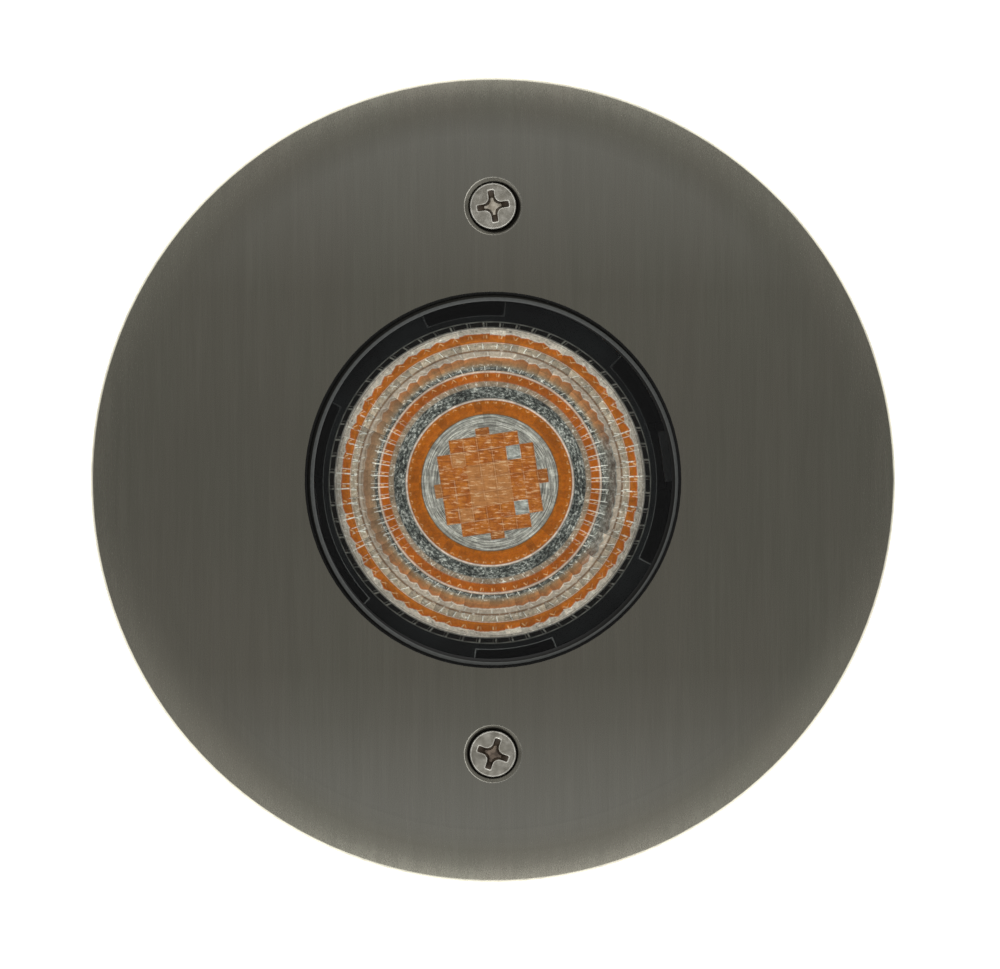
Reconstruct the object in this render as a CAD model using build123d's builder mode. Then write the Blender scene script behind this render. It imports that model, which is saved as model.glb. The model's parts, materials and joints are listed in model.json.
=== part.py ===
from build123d import *
from math import cos, radians, sin
import os

os.makedirs("parts", exist_ok=True)

# In-ground well light, in millimetres. The origin is on the can's axis at ground level, which is
# the underside of the can's flange. +Z points up, out of the ground.

# Place of the adjustable module in its seat: its side play, and how far it was left turned
module_shift_x = -0.50
module_shift_y = -0.41
module_turn = 8.5

# Radii, from the optic outwards: each is its inner neighbour plus a wall or a clearance
optic_flange_radius = 25.25
optic_flange_width = 1.25
optic_face_radius = optic_flange_radius - optic_flange_width
optic_centre_radius = 9.0
ring_fit = 0.1
ring_bore_radius = optic_flange_radius + ring_fit
ring_skirt_wall = 1.15
notch_radius = ring_bore_radius + ring_skirt_wall
ring_wing_width = 2.8
lens_ring_radius = notch_radius + ring_wing_width
window_margin = 0.4
window_radius = lens_ring_radius + window_margin
hoop_margin = 0.8
hoop_radius = lens_ring_radius + hoop_margin
hoop_wall = 1.2
aiming_flange_width = 2.5
aiming_flange_radius = hoop_radius + aiming_flange_width
aiming_play = 1.0
opening_radius = hoop_radius + aiming_play
seat_radius = aiming_flange_radius + aiming_play
glass_ledge_width = 2.2
well_radius = seat_radius + glass_ledge_width
glass_edge_gap = 1.0
glass_radius = well_radius - glass_edge_gap
groove_land = 1.0
groove_inner_radius = well_radius + groove_land
groove_width = 2.0
groove_outer_radius = groove_inner_radius + groove_width
washer_radius = 3.4
washer_gap = 0.3
washer_land = 0.7
screw_offset = groove_outer_radius + washer_land + washer_gap + washer_radius
insert_radius = 2.8
insert_cover = 0.9
spigot_radius = screw_offset + insert_radius + insert_cover
spigot_gap = 0.1
seat_lip_width = 1.5
seat_lip_radius = spigot_radius + seat_lip_width
can_wall = 3.0
can_radius = spigot_radius + spigot_gap + can_wall
flange_overhang = 9.6
flange_radius = can_radius + flange_overhang
lip_clearance = 0.7
lip_width = 3.2
plate_radius = flange_radius + lip_clearance + lip_width

# Faceplate and its screws
flange_thickness = 2.5
plate_thickness = 3.0
plate_top = flange_thickness + plate_thickness
rim_width = 8.3
rim_drop = 1.7
rim_round = 0.6
lip_ground_gap = 0.3
pocket_depth = 1.2
pocket_clearance = 0.4
screw_hole_radius = 2.25
countersink_radius = 4.575
screw_radius = 2.0
screw_head_radius = 3.7
screw_head_land = 0.25
screw_head_gap = 0.06
screw_length = 16.0
screw_turns = {"top_screw": 9.0, "bottom_screw": 70.5}
recess_arm_reach = 2.6
recess_arm_width = 1.05
recess_depth = 1.7
recess_taper = 8.0
running_gap = 0.05
washer_thickness = 0.8
insert_length = 9.0

# Window glass, its bond and its seal
bond_thickness = 0.8
glass_thickness = 4.2
glass_gap = 0.45
glass_bevel_width = 1.05
glass_bevel_height = 0.7
glass_recess = 0.2
glass_seal_thickness = 1.0
glass_seal_inset = 0.3
pocket_top = flange_thickness + pocket_depth
glass_step = pocket_top - bond_thickness
glass_under = glass_step - glass_thickness
glass_ledge = glass_under - glass_seal_thickness

# Seat ring in the top of the can
groove_depth = 2.0
seal_gap = 0.05
deck_thickness = 5.5
hub_wall = 2.3
aiming_seat_depth = 3.0
hub_floor = 3.0
aiming_ledge = glass_ledge - aiming_seat_depth
hub_under = aiming_ledge - hub_floor
boss_radius = 5.0
boss_tip_cover = 1.5

# The can
can_straight_depth = 48.0
shoulder_width = 10.0
shoulder_drop = 8.0
base_radius = can_radius - shoulder_width
floor_thickness = 3.5
foot_width = 6.0
foot_height = 1.5
rib_count = 6
rib_thickness = 3.0
rib_inset = 0.5
rib_clear_angle = 40.0
rib_end_gap = 7.0

# Aiming ring and tilt pivots
aiming_flange_thickness = 2.4
hoop_drop = 2.5
arm_gap = 1.0
arm_thickness = 2.4
arm_width = 8.0
arm_eye_radius = 5.5
arm_inner = notch_radius + arm_gap
arm_outer = arm_inner + arm_thickness
pivot_radius = 2.5
pivot_thread_radius = 2.0
pivot_thread_length = 6.5
pivot_head_radius = 4.2
pivot_head_thickness = 1.2
pivot_head_clearance = 0.2
friction_washer_radius = 5.0

# Module: heights hang from the underside of the glass
headroom = 7.9
ring_lip_thickness = 1.2
ring_lip_overlap = 0.55
ring_lip_chamfer = 0.7
ring_wing_thickness = 2.2
ring_skirt_depth = 7.5
notch_corner = 0.8
wide_notch_angle = 70.5
narrow_notch_angle = 26.5
twist_angle = 12.0
lug_count = 3
lug_start_angle = 60.0
lug_angle = 6.0
lug_height = 1.4
lug_reach = 1.0
lug_gap = 0.15
lug_side_gap = 0.5
lug_drop = 1.4
optic_flange_thickness = 1.8
optic_rows = 8
optic_row_step = 0.25
optic_facets = 60
optic_foot_gap = 0.4
optic_foot_width = 2.5
optic_foot_margin = 2.2
optic_cavity_depth = 5.0
optic_bulge = 1.2
small_head_width = 1.0
small_head_height = 1.2
small_screw_depth = 5.0
cup_wall = 1.0
cup_floor = 1.5
cup_floor_land = 1.15
cup_screw_radius = 1.25
cup_screw_margin = 0.15
holder_fit = 0.4
holder_cover = 1.1
holder_screw_radius = 1.5
holder_screw_margin = 0.3
board_side = 19.0
board_thickness = 1.0
board_fit = 0.15
pad_thickness = 0.5
phosphor_side = 15.4
phosphor_height = 0.4
phosphor_corner = 2.0
phosphor_frame = 0.5
sink_gap = 1.1
sink_cover = 2.7
sink_plate_thickness = 6.5
fin_length = 19.0
fin_count = 18
fin_thickness = 1.4
fin_root = 2.0
core_margin = 2.5
pivot_drop = 18.0

# Radii inside the module, from the lens ring inwards to the optic's cavity
cup_radius = ring_bore_radius - lug_gap
cup_screw_ring = cup_radius - cup_wall - cup_screw_margin - small_head_width - cup_screw_radius
cup_opening_radius = cup_screw_ring - cup_screw_radius - small_head_width - cup_floor_land
holder_radius = cup_opening_radius - holder_fit
holder_screw_offset = holder_radius - holder_screw_margin - small_head_width - holder_screw_radius
optic_foot_radius = holder_screw_offset - holder_screw_radius - small_head_width - optic_foot_margin
optic_cavity_radius = optic_foot_radius - optic_foot_width

ring_top = glass_under - headroom
optic_top = ring_top - ring_lip_thickness
cup_top = optic_top - optic_flange_thickness
pivot_height = ring_top - pivot_drop
sink_top = pivot_height + sink_cover
sink_radius = arm_inner - sink_gap
fins_top = sink_top - sink_plate_thickness
sink_under = fins_top - fin_length
board_under = sink_top + pad_thickness
board_top = board_under + board_thickness
holder_top = board_top + holder_cover
optic_foot = holder_top + optic_foot_gap

# Wiring space under the module
wiring_depth = 40.0
floor_top = sink_under - wiring_depth
base_level = floor_top - floor_thickness - foot_height
wire_radius = 0.65
wire_offset = 0.85
wire_hole_inset = 3.5
wire_hole_margin = 0.3
wire_hole_offset = holder_radius - wire_hole_inset
core_radius = wire_hole_offset - core_margin
wire_bend = 3.0
plug_length = 9.0
plug_width = 6.0
plug_height = 6.0
plug_drop = 10.0
plug_gap = 0.6
plug_top = sink_under - plug_drop
socket_top = plug_top - plug_height - plug_gap
socket_wall = 0.5
driver_length = 36.0
driver_width = 20.0
driver_height = 14.0
driver_x = -4.0
driver_y = -17.0
driver_ear = 6.0
driver_ear_thickness = 2.5
driver_corner = 2.0
driver_lead_drop = 5.0
terminal_inset = 6.0
terminal_x = driver_x + driver_length / 2 - terminal_inset
terminal_y = 13.0
terminal_length = 18.0
terminal_width = 14.0
terminal_height = 12.0
terminal_pitch = 9.0
terminal_screw_radius = 2.2
terminal_screw_sink = 1.0
terminal_screw_length = 5.0
terminal_hole_radius = 1.6
terminal_hole_height = 4.5
post_radius = 2.8
post_height = 4.0
post_screw_radius = 1.5

# Cable gland, on a flat in the side of the can's base
gland_flat_depth = 9.0
gland_height = 10.5
gland_thread_radius = 5.9
gland_thread_gap = 0.2
gland_o_ring_thickness = 1.0
gland_o_ring_radius = 7.2
gland_hex = 15.0
gland_hex_thickness = 4.0
gland_sleeve_radius = 6.0
gland_sleeve_length = 8.0
gland_sleeve_wall = 1.0
gland_seal_length = 7.0
gland_seal_inset = 2.5
cable_radius = 3.2
gland_bore_radius = 4.2
gland_nut_gap = 1.0
gland_nut_radius = 7.4
gland_nut_length = 12.0
gland_nut_lip = 2.5
gland_nut_flutes = 12
gland_nut_flute_radius = 0.8
gland_nut_mouth_radius = 3.9
lock_nut_hex = 16.0
lock_nut_thickness = 3.2
gland_flat = base_radius - gland_flat_depth
inner_flat = gland_flat - can_wall
gland_level = floor_top + gland_height

# Working planes: the can's own, and the module's, which is shifted and turned
screw_spots = {"top_screw": (0, screw_offset), "bottom_screw": (0, -screw_offset)}
module_origin = (module_shift_x, module_shift_y, 0)
module_x = Vector(cos(radians(module_turn)), sin(radians(module_turn)), 0)
module_y = Vector(-sin(radians(module_turn)), cos(radians(module_turn)), 0)
module_plane = Plane(origin=module_origin, x_dir=module_x, z_dir=(0, 0, 1))
module_section = Plane(origin=module_origin, x_dir=module_x, z_dir=-module_y)
pivot_plane = Plane(origin=module_origin, x_dir=module_y, z_dir=module_x)
module_axis = Axis(module_origin, (0, 0, 1))
gland_plane = Plane(origin=(0, 0, gland_level), x_dir=(0, 1, 0), z_dir=(1, 0, 0))
gland_section = Plane(origin=(0, 0, gland_level), x_dir=(1, 0, 0), z_dir=(0, -1, 0))
gland_axis = Axis((0, 0, gland_level), (1, 0, 0))


def finish(piece, label):
    piece.part.label = label
    export_step(piece.part, f"parts/{label}.step")


def ring_sector(inner, outer, middle, width, corner=0):
    # Part of a flat ring, its middle and width in degrees, with its inner corners rounded if asked
    first = middle - width / 2
    with BuildSketch() as sector:
        with BuildLine():
            near = CenterArc((0, 0), inner, first, width)
            far = CenterArc((0, 0), outer, first, width)
            Line(near @ 0, far @ 0)
            Line(near @ 1, far @ 1)
        make_face()
        if corner:
            inner_corners = [at for at in sector.vertices() if abs(Vector(at).length - inner) < corner]
            fillet(inner_corners, corner)
    return sector.sketch


# Faceplate: a disc with a rolled rim, a lip that hides the can's flange, and a pocket for the glass
with BuildPart() as faceplate:
    with BuildSketch(Plane.XZ):
        with BuildLine():
            rim_start = (plate_radius - rim_width, plate_top)
            rim_end = (plate_radius, plate_top - rim_drop)
            Line((window_radius, plate_top), rim_start)
            rim = TangentArc(rim_start, rim_end, tangent=(1, 0))
            Polyline(
                rim @ 1,
                (plate_radius, lip_ground_gap),
                (plate_radius - lip_width, lip_ground_gap),
                (plate_radius - lip_width, flange_thickness),
                (glass_radius + pocket_clearance, flange_thickness),
                (glass_radius + pocket_clearance, pocket_top),
                (window_radius, pocket_top),
                (window_radius, plate_top),
            )
        make_face()
    revolve(axis=Axis.Z)
    outer_edges = faceplate.edges().filter_by(GeomType.CIRCLE).group_by(SortBy.RADIUS)[-1]
    fillet(outer_edges.group_by(Axis.Z)[-1], rim_round)
    with Locations(*[(x, y, plate_top) for x, y in screw_spots.values()]):
        CounterSinkHole(screw_hole_radius, countersink_radius, counter_sink_angle=90)
finish(faceplate, "faceplate")

# Faceplate screws: countersunk, with a cross recess, and plain where the thread runs
head_edge_drop = countersink_radius - screw_head_radius - screw_head_gap
head_top = plate_top - head_edge_drop + screw_head_land
for screw_name, (screw_x, screw_y) in screw_spots.items():
    spot = Plane(origin=(screw_x, screw_y, head_top), x_dir=(1, 0, 0), z_dir=(0, 0, 1))
    spot_section = Plane(origin=spot.origin, x_dir=(1, 0, 0), z_dir=(0, -1, 0))
    spot_axis = Axis(spot.origin, (0, 0, 1))
    cone_height = screw_head_radius - screw_radius
    with BuildPart() as screw:
        with BuildSketch(spot_section):
            with BuildLine():
                Polyline(
                    (0, 0),
                    (screw_head_radius - screw_head_land, 0),
                    (screw_head_radius, -screw_head_land),
                    (screw_radius, -screw_head_land - cone_height),
                    (screw_radius, -screw_length + screw_radius / 2),
                    (screw_radius / 2, -screw_length),
                    (0, -screw_length),
                    close=True,
                )
            make_face()
        revolve(axis=spot_axis)
        with BuildSketch(spot):
            with Locations(Rotation(0, 0, screw_turns[screw_name])):
                SlotOverall(2 * recess_arm_reach, recess_arm_width)
                SlotOverall(2 * recess_arm_reach, recess_arm_width, rotation=90)
        extrude(amount=-recess_depth, taper=recess_taper, mode=Mode.SUBTRACT)
    finish(screw, screw_name)
    # Nylon washer on the screw's shank that keeps it captive under the plate
    washer_top = Plane.XY.offset(flange_thickness - washer_gap)
    with BuildPart() as washer:
        with BuildSketch(washer_top):
            with Locations((screw_x, screw_y)):
                Circle(washer_radius)
                Circle(screw_radius, mode=Mode.SUBTRACT)
        extrude(amount=-washer_thickness)
    finish(washer, f"{screw_name}_washer")

# Window glass: a thick disc whose middle is raised through the plate's hole, with a ground bevel
glass_raised_radius = window_radius - glass_gap
glass_top = plate_top - glass_recess
with BuildPart() as glass_window:
    with BuildSketch(Plane.XZ):
        with BuildLine():
            Polyline(
                (0, glass_under),
                (glass_radius, glass_under),
                (glass_radius, glass_step),
                (glass_raised_radius, glass_step),
                (glass_raised_radius, glass_top - glass_bevel_height),
                (glass_raised_radius - glass_bevel_width, glass_top),
                (0, glass_top),
                close=True,
            )
        make_face()
    revolve(axis=Axis.Z)
finish(glass_window, "glass_window")

# Bond: silicone between the glass's step and the plate's pocket
with BuildPart() as window_bond:
    with BuildSketch(Plane.XY.offset(glass_step)):
        Circle(glass_radius)
        Circle(window_radius, mode=Mode.SUBTRACT)
    extrude(amount=bond_thickness)
finish(window_bond, "window_bond")

# Housing: a moulded can, open at the top, with a ground flange, a rebate, ribs and a gland flat
straight_end = -can_straight_depth
shoulder_end = straight_end - shoulder_drop
with BuildPart() as housing:
    with BuildSketch(Plane.XZ):
        with BuildLine():
            Polyline(
                (0, floor_top - floor_thickness),
                (base_radius - foot_width, floor_top - floor_thickness),
                (base_radius - foot_width, base_level),
                (base_radius, base_level),
                (base_radius, shoulder_end),
                (can_radius, straight_end),
                (can_radius, 0),
                (flange_radius, 0),
                (flange_radius, flange_thickness),
                (0, flange_thickness),
                close=True,
            )
        make_face()
    revolve(axis=Axis.Z)
    # Flat in the side of the base, so that the gland stays inside the can's own circle
    with BuildSketch(Plane.XY.offset(base_level)):
        with Locations((gland_flat, 0)):
            Rectangle(gland_flat_depth, 2 * base_radius, align=(Align.MIN, Align.CENTER))
    extrude(amount=shoulder_end - base_level, mode=Mode.SUBTRACT)
    # Wiring space in the base
    with BuildSketch(Plane.XY.offset(floor_top)):
        Circle(base_radius - can_wall)
        with Locations((inner_flat, 0)):
            flat_side = (Align.MIN, Align.CENTER)
            Rectangle(can_wall + gland_flat_depth, 2 * base_radius, align=flat_side, mode=Mode.SUBTRACT)
    extrude(amount=shoulder_end - floor_top, mode=Mode.SUBTRACT)
    # Module space above it, and the rebate for the seat ring's lip
    with BuildSketch(Plane.XZ):
        with BuildLine():
            Polyline(
                (0, shoulder_end),
                (inner_flat, shoulder_end),
                (can_radius - can_wall, straight_end),
                (can_radius - can_wall, 0),
                (seat_lip_radius + spigot_gap, 0),
                (seat_lip_radius + spigot_gap, flange_thickness),
                (0, flange_thickness),
                close=True,
            )
        make_face()
    revolve(axis=Axis.Z, mode=Mode.SUBTRACT)
    # Ribs down the base, which key the can into the ground
    rib_reach = can_radius - rib_inset
    rib_step = (360 - 2 * rib_clear_angle) / (rib_count - 1)
    rib_root = base_radius - can_wall / 2
    rib_angles = [rib_clear_angle + rib_step * number for number in range(rib_count)]
    for rib_angle in rib_angles:
        rib_direction = Vector(cos(radians(rib_angle)), sin(radians(rib_angle)), 0)
        rib_plane = Plane(origin=(0, 0, 0), x_dir=rib_direction, z_dir=rib_direction.cross(Vector(0, 0, 1)))
        with BuildSketch(rib_plane):
            with BuildLine():
                Polyline(
                    (rib_root, straight_end - shoulder_drop / 2),
                    (rib_reach, straight_end),
                    (rib_reach, base_level + rib_end_gap + shoulder_width),
                    (rib_root, base_level + rib_end_gap),
                    close=True,
                )
            make_face()
        extrude(amount=rib_thickness / 2, both=True)
    # Hole for the gland, through the flat
    with BuildSketch(gland_plane.offset(inner_flat)):
        Circle(gland_thread_radius + gland_thread_gap)
    extrude(amount=can_wall, mode=Mode.SUBTRACT)
    # Posts on the floor for the driver and the terminal block
    driver_post_x = driver_length / 2 + driver_ear / 2
    post_spots = [(driver_x - driver_post_x, driver_y), (driver_x + driver_post_x, driver_y)]
    with BuildSketch(Plane.XY.offset(floor_top)):
        with Locations(*post_spots):
            Circle(post_radius)
            Circle(post_screw_radius, mode=Mode.SUBTRACT)
    extrude(amount=post_height)
finish(housing, "housing")

# Seat ring: its lip is bonded in the can's rebate, and it has a stepped seat and screw bosses
deck_under = flange_thickness - deck_thickness
pocket_floor = flange_thickness - 2 * washer_gap - washer_thickness
screw_tip = head_top - screw_length
boss_end = screw_tip - boss_tip_cover - running_gap
with BuildPart() as seat_ring:
    with BuildSketch(Plane.XZ):
        with BuildLine():
            Polyline(
                (opening_radius, hub_under),
                (opening_radius, aiming_ledge),
                (seat_radius, aiming_ledge),
                (seat_radius, glass_ledge),
                (well_radius, glass_ledge),
                (well_radius, flange_thickness),
                (seat_lip_radius, flange_thickness),
                (seat_lip_radius, 0),
                (spigot_radius, 0),
                (spigot_radius, deck_under),
                (seat_radius + hub_wall, deck_under),
                (seat_radius + hub_wall, hub_under),
                close=True,
            )
        make_face()
    revolve(axis=Axis.Z)
    # Groove for the cover seal
    with BuildSketch(Plane.XY.offset(flange_thickness)):
        Circle(groove_outer_radius)
        Circle(groove_inner_radius, mode=Mode.SUBTRACT)
    extrude(amount=-groove_depth, mode=Mode.SUBTRACT)
    # Bosses for the threaded inserts, bored for insert and screw tip
    with BuildSketch(Plane.XY.offset(deck_under)):
        with Locations(*screw_spots.values()):
            Circle(boss_radius)
        Circle(spigot_radius, mode=Mode.INTERSECT)
    extrude(amount=boss_end - deck_under)
    with Locations(*[(x, y, pocket_floor - insert_length) for x, y in screw_spots.values()]):
        Cylinder(screw_hole_radius, pocket_floor - insert_length - screw_tip + running_gap,
                 align=(Align.CENTER, Align.CENTER, Align.MAX), mode=Mode.SUBTRACT)
        Cylinder(insert_radius, insert_length,
                 align=(Align.CENTER, Align.CENTER, Align.MIN), mode=Mode.SUBTRACT)
    with Locations(*[(x, y, pocket_floor) for x, y in screw_spots.values()]):
        Cylinder(washer_radius + washer_gap, flange_thickness - pocket_floor,
                 align=(Align.CENTER, Align.CENTER, Align.MIN), mode=Mode.SUBTRACT)
finish(seat_ring, "seat_ring")

# Threaded inserts, bored as the plain screws need
with BuildPart() as brass_inserts:
    with BuildSketch(Plane.XY.offset(pocket_floor)):
        with Locations(*screw_spots.values()):
            Circle(insert_radius)
            Circle(screw_radius + running_gap, mode=Mode.SUBTRACT)
    extrude(amount=-insert_length)
finish(brass_inserts, "brass_inserts")

# Cover seal: a round cord ring, drawn as it is squeezed in its groove
groove_middle = (groove_inner_radius + groove_outer_radius) / 2
with BuildPart() as cover_seal:
    with BuildSketch(Plane.XZ):
        with Locations((groove_middle, flange_thickness - groove_depth / 2)):
            RectangleRounded(groove_width - 2 * seal_gap, groove_depth, groove_depth / 2 - 2 * seal_gap)
    revolve(axis=Axis.Z)
finish(cover_seal, "cover_seal")

# Glass seal: a flat ring on the ledge under the glass
with BuildPart() as glass_seal:
    with BuildSketch(Plane.XY.offset(glass_ledge)):
        Circle(well_radius - glass_seal_inset)
        Circle(seat_radius + glass_seal_inset, mode=Mode.SUBTRACT)
    extrude(amount=glass_seal_thickness)
finish(glass_seal, "glass_seal")

# Aiming ring: turns in the can's seat, and two arms carry the tilt pivots
hoop_inner = hoop_radius - hoop_wall
with BuildPart() as aiming_ring:
    with BuildSketch(module_plane.offset(aiming_ledge)):
        Circle(aiming_flange_radius)
        Circle(hoop_inner, mode=Mode.SUBTRACT)
    extrude(amount=aiming_flange_thickness)
    with BuildSketch(module_plane.offset(aiming_ledge)):
        Circle(hoop_radius)
        Circle(hoop_inner, mode=Mode.SUBTRACT)
    extrude(amount=-hoop_drop)
    with BuildSketch(pivot_plane.offset(arm_inner)):
        with Locations((0, aiming_ledge)):
            Rectangle(arm_width, aiming_ledge - pivot_height, align=(Align.CENTER, Align.MAX))
        with Locations((0, pivot_height)):
            Circle(arm_eye_radius)
    extrude(amount=arm_thickness)
    with BuildSketch(pivot_plane.offset(arm_inner)):
        with Locations((0, pivot_height)):
            Circle(pivot_radius + running_gap)
    extrude(amount=arm_thickness, mode=Mode.SUBTRACT)
    with BuildSketch(pivot_plane.offset(arm_outer)):
        with Locations((0, pivot_height)):
            Circle(pivot_head_radius + pivot_head_clearance)
    extrude(amount=-pivot_head_thickness, mode=Mode.SUBTRACT)
    one_arm = aiming_ring.part
    mirror(one_arm, about=pivot_plane)
finish(aiming_ring, "aiming_ring")

# Heat sink: a plate under the LED with radial fins below it
wire_slot_width = 2 * (wire_offset + wire_radius + wire_hole_margin)
wire_slot_height = 2 * (wire_radius + wire_hole_margin)
with BuildPart() as heat_sink:
    with BuildSketch(module_plane.offset(sink_top)):
        Circle(sink_radius)
    extrude(amount=-sink_plate_thickness)
    with BuildSketch(module_plane.offset(fins_top)):
        Circle(core_radius)
        with PolarLocations(core_radius - fin_root, fin_count):
            Rectangle(sink_radius - core_radius, fin_thickness, align=(Align.MIN, Align.CENTER))
    extrude(amount=-fin_length)
    with BuildSketch(pivot_plane.offset(sink_radius)):
        with Locations((0, pivot_height)):
            Circle(pivot_thread_radius)
    extrude(amount=-pivot_thread_length, mode=Mode.SUBTRACT)
    with BuildSketch(pivot_plane.offset(-sink_radius)):
        with Locations((0, pivot_height)):
            Circle(pivot_thread_radius)
    extrude(amount=pivot_thread_length, mode=Mode.SUBTRACT)
    with BuildSketch(module_plane.offset(sink_top)):
        with Locations((holder_screw_offset, 0), (-holder_screw_offset, 0)):
            Circle(holder_screw_radius)
        with PolarLocations(cup_screw_ring, 3, start_angle=90):
            Circle(cup_screw_radius)
    extrude(amount=-small_screw_depth, mode=Mode.SUBTRACT)
    with BuildSketch(module_plane.offset(sink_top)):
        with Locations((0, wire_hole_offset)):
            Rectangle(wire_slot_width, wire_slot_height)
    extrude(amount=-sink_plate_thickness, mode=Mode.SUBTRACT)
finish(heat_sink, "heat_sink")

# Pivot screws: head in the arm's counterbore, shoulder in its eye, thread in the heat sink
with BuildPart() as pivot_screws:
    with BuildSketch(pivot_plane.offset(arm_outer)):
        with Locations((0, pivot_height)):
            Circle(pivot_head_radius)
    extrude(amount=-pivot_head_thickness + running_gap)
    with BuildSketch(pivot_plane.offset(arm_outer)):
        with Locations((0, pivot_height)):
            Circle(pivot_radius)
    extrude(amount=sink_radius - arm_outer)
    with BuildSketch(pivot_plane.offset(sink_radius)):
        with Locations((0, pivot_height)):
            Circle(pivot_thread_radius)
    extrude(amount=-pivot_thread_length)
    one_screw = pivot_screws.part
    mirror(one_screw, about=pivot_plane)
finish(pivot_screws, "pivot_screws")

# Friction washers between the arms and the heat sink, which hold the tilt
with BuildPart() as friction_washers:
    with BuildSketch(pivot_plane.offset(sink_radius)):
        with Locations((0, pivot_height)):
            Circle(friction_washer_radius)
            Circle(pivot_radius, mode=Mode.SUBTRACT)
    extrude(amount=arm_inner - sink_radius - running_gap)
    one_washer = friction_washers.part
    mirror(one_washer, about=pivot_plane)
finish(friction_washers, "friction_washers")

# LED: thermal pad, board and phosphor
with BuildPart() as thermal_pad:
    with BuildSketch(module_plane.offset(sink_top)):
        Rectangle(board_side, board_side)
    extrude(amount=pad_thickness)
finish(thermal_pad, "thermal_pad")

with BuildPart() as led_board:
    with BuildSketch(module_plane.offset(board_under)):
        Rectangle(board_side, board_side)
    extrude(amount=board_thickness)
finish(led_board, "led_board")

with BuildPart() as led_phosphor:
    with BuildSketch(module_plane.offset(board_top)):
        RectangleRounded(phosphor_side, phosphor_side, phosphor_corner)
    extrude(amount=phosphor_height)
finish(led_phosphor, "led_phosphor")

# LED holder: presses the board down by its edges, open over the phosphor and at the leads
with BuildPart() as led_holder:
    with BuildSketch(module_plane.offset(sink_top)):
        Circle(holder_radius)
        with Locations((holder_screw_offset, 0), (-holder_screw_offset, 0)):
            Circle(holder_screw_radius, mode=Mode.SUBTRACT)
    extrude(amount=holder_top - sink_top)
    with BuildSketch(module_plane.offset(sink_top)):
        Rectangle(board_side + 2 * board_fit, board_side + 2 * board_fit)
    extrude(amount=board_top - sink_top, mode=Mode.SUBTRACT)
    with BuildSketch(module_plane.offset(sink_top)):
        Rectangle(phosphor_side + 2 * phosphor_frame, phosphor_side + 2 * phosphor_frame)
        with Locations((0, wire_hole_offset + wire_slot_height / 2)):
            Rectangle(wire_slot_width, wire_hole_offset, align=(Align.CENTER, Align.MAX))
    extrude(amount=holder_top - sink_top, mode=Mode.SUBTRACT)
finish(led_holder, "led_holder")

with BuildPart() as led_holder_screws:
    with BuildSketch(module_plane.offset(holder_top)):
        with Locations((holder_screw_offset, 0), (-holder_screw_offset, 0)):
            Circle(holder_screw_radius + small_head_width)
    extrude(amount=small_head_height)
    with BuildSketch(module_plane.offset(holder_top)):
        with Locations((holder_screw_offset, 0), (-holder_screw_offset, 0)):
            Circle(holder_screw_radius)
    extrude(amount=sink_top - small_screw_depth - holder_top)
finish(led_holder_screws, "led_holder_screws")

# Optic holder: a black cup whose rim carries the optic and whose lugs hold the lens ring
lug_top = cup_top - lug_drop
lug_angles = [lug_start_angle + 360 / lug_count * number for number in range(lug_count)]
with BuildPart() as optic_holder:
    with BuildSketch(module_plane.offset(sink_top)):
        Circle(cup_radius)
        Circle(cup_opening_radius, mode=Mode.SUBTRACT)
        with PolarLocations(cup_screw_ring, 3, start_angle=90):
            Circle(cup_screw_radius, mode=Mode.SUBTRACT)
    extrude(amount=cup_floor)
    with BuildSketch(module_plane.offset(sink_top)):
        Circle(cup_radius)
        Circle(cup_radius - cup_wall, mode=Mode.SUBTRACT)
    extrude(amount=cup_top - sink_top)
    with BuildSketch(module_plane.offset(lug_top)):
        for angle in lug_angles:
            add(ring_sector(cup_radius - cup_wall / 2, cup_radius + lug_reach, angle, lug_angle))
    extrude(amount=-lug_height)
finish(optic_holder, "optic_holder")

with BuildPart() as optic_holder_screws:
    with BuildSketch(module_plane.offset(sink_top + cup_floor)):
        with PolarLocations(cup_screw_ring, 3, start_angle=90):
            Circle(cup_screw_radius + small_head_width)
    extrude(amount=small_head_height)
    with BuildSketch(module_plane.offset(sink_top + cup_floor)):
        with PolarLocations(cup_screw_ring, 3, start_angle=90):
            Circle(cup_screw_radius)
    extrude(amount=-cup_floor - small_screw_depth)
finish(optic_holder_screws, "optic_holder_screws")

# Optic: a clear collimator, dished in rows of flats, each row turned half a flat from the last
row_pitch = (optic_face_radius - optic_centre_radius) / optic_rows
with BuildPart() as optic:
    with BuildSketch(module_section):
        with BuildLine():
            Polyline(
                (0, optic_top),
                (optic_flange_radius, optic_top),
                (optic_flange_radius, cup_top),
                (optic_face_radius - ring_fit, cup_top),
            )
            SagittaArc((optic_face_radius - ring_fit, cup_top), (optic_foot_radius, optic_foot), -optic_bulge)
            Polyline(
                (optic_foot_radius, optic_foot),
                (optic_cavity_radius, optic_foot),
                (optic_cavity_radius - 1, optic_foot + optic_cavity_depth),
                (0, optic_foot + optic_cavity_depth),
                (0, optic_top),
            )
        make_face()
    revolve(axis=module_axis)
    for row in range(optic_rows):
        row_radius = optic_face_radius - row * row_pitch
        with BuildSketch(module_plane.offset(optic_top)):
            RegularPolygon(row_radius, optic_facets, rotation=(row % 2) * 180 / optic_facets)
        extrude(amount=-(row + 1) * optic_row_step, mode=Mode.SUBTRACT)
finish(optic, "optic")

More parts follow.
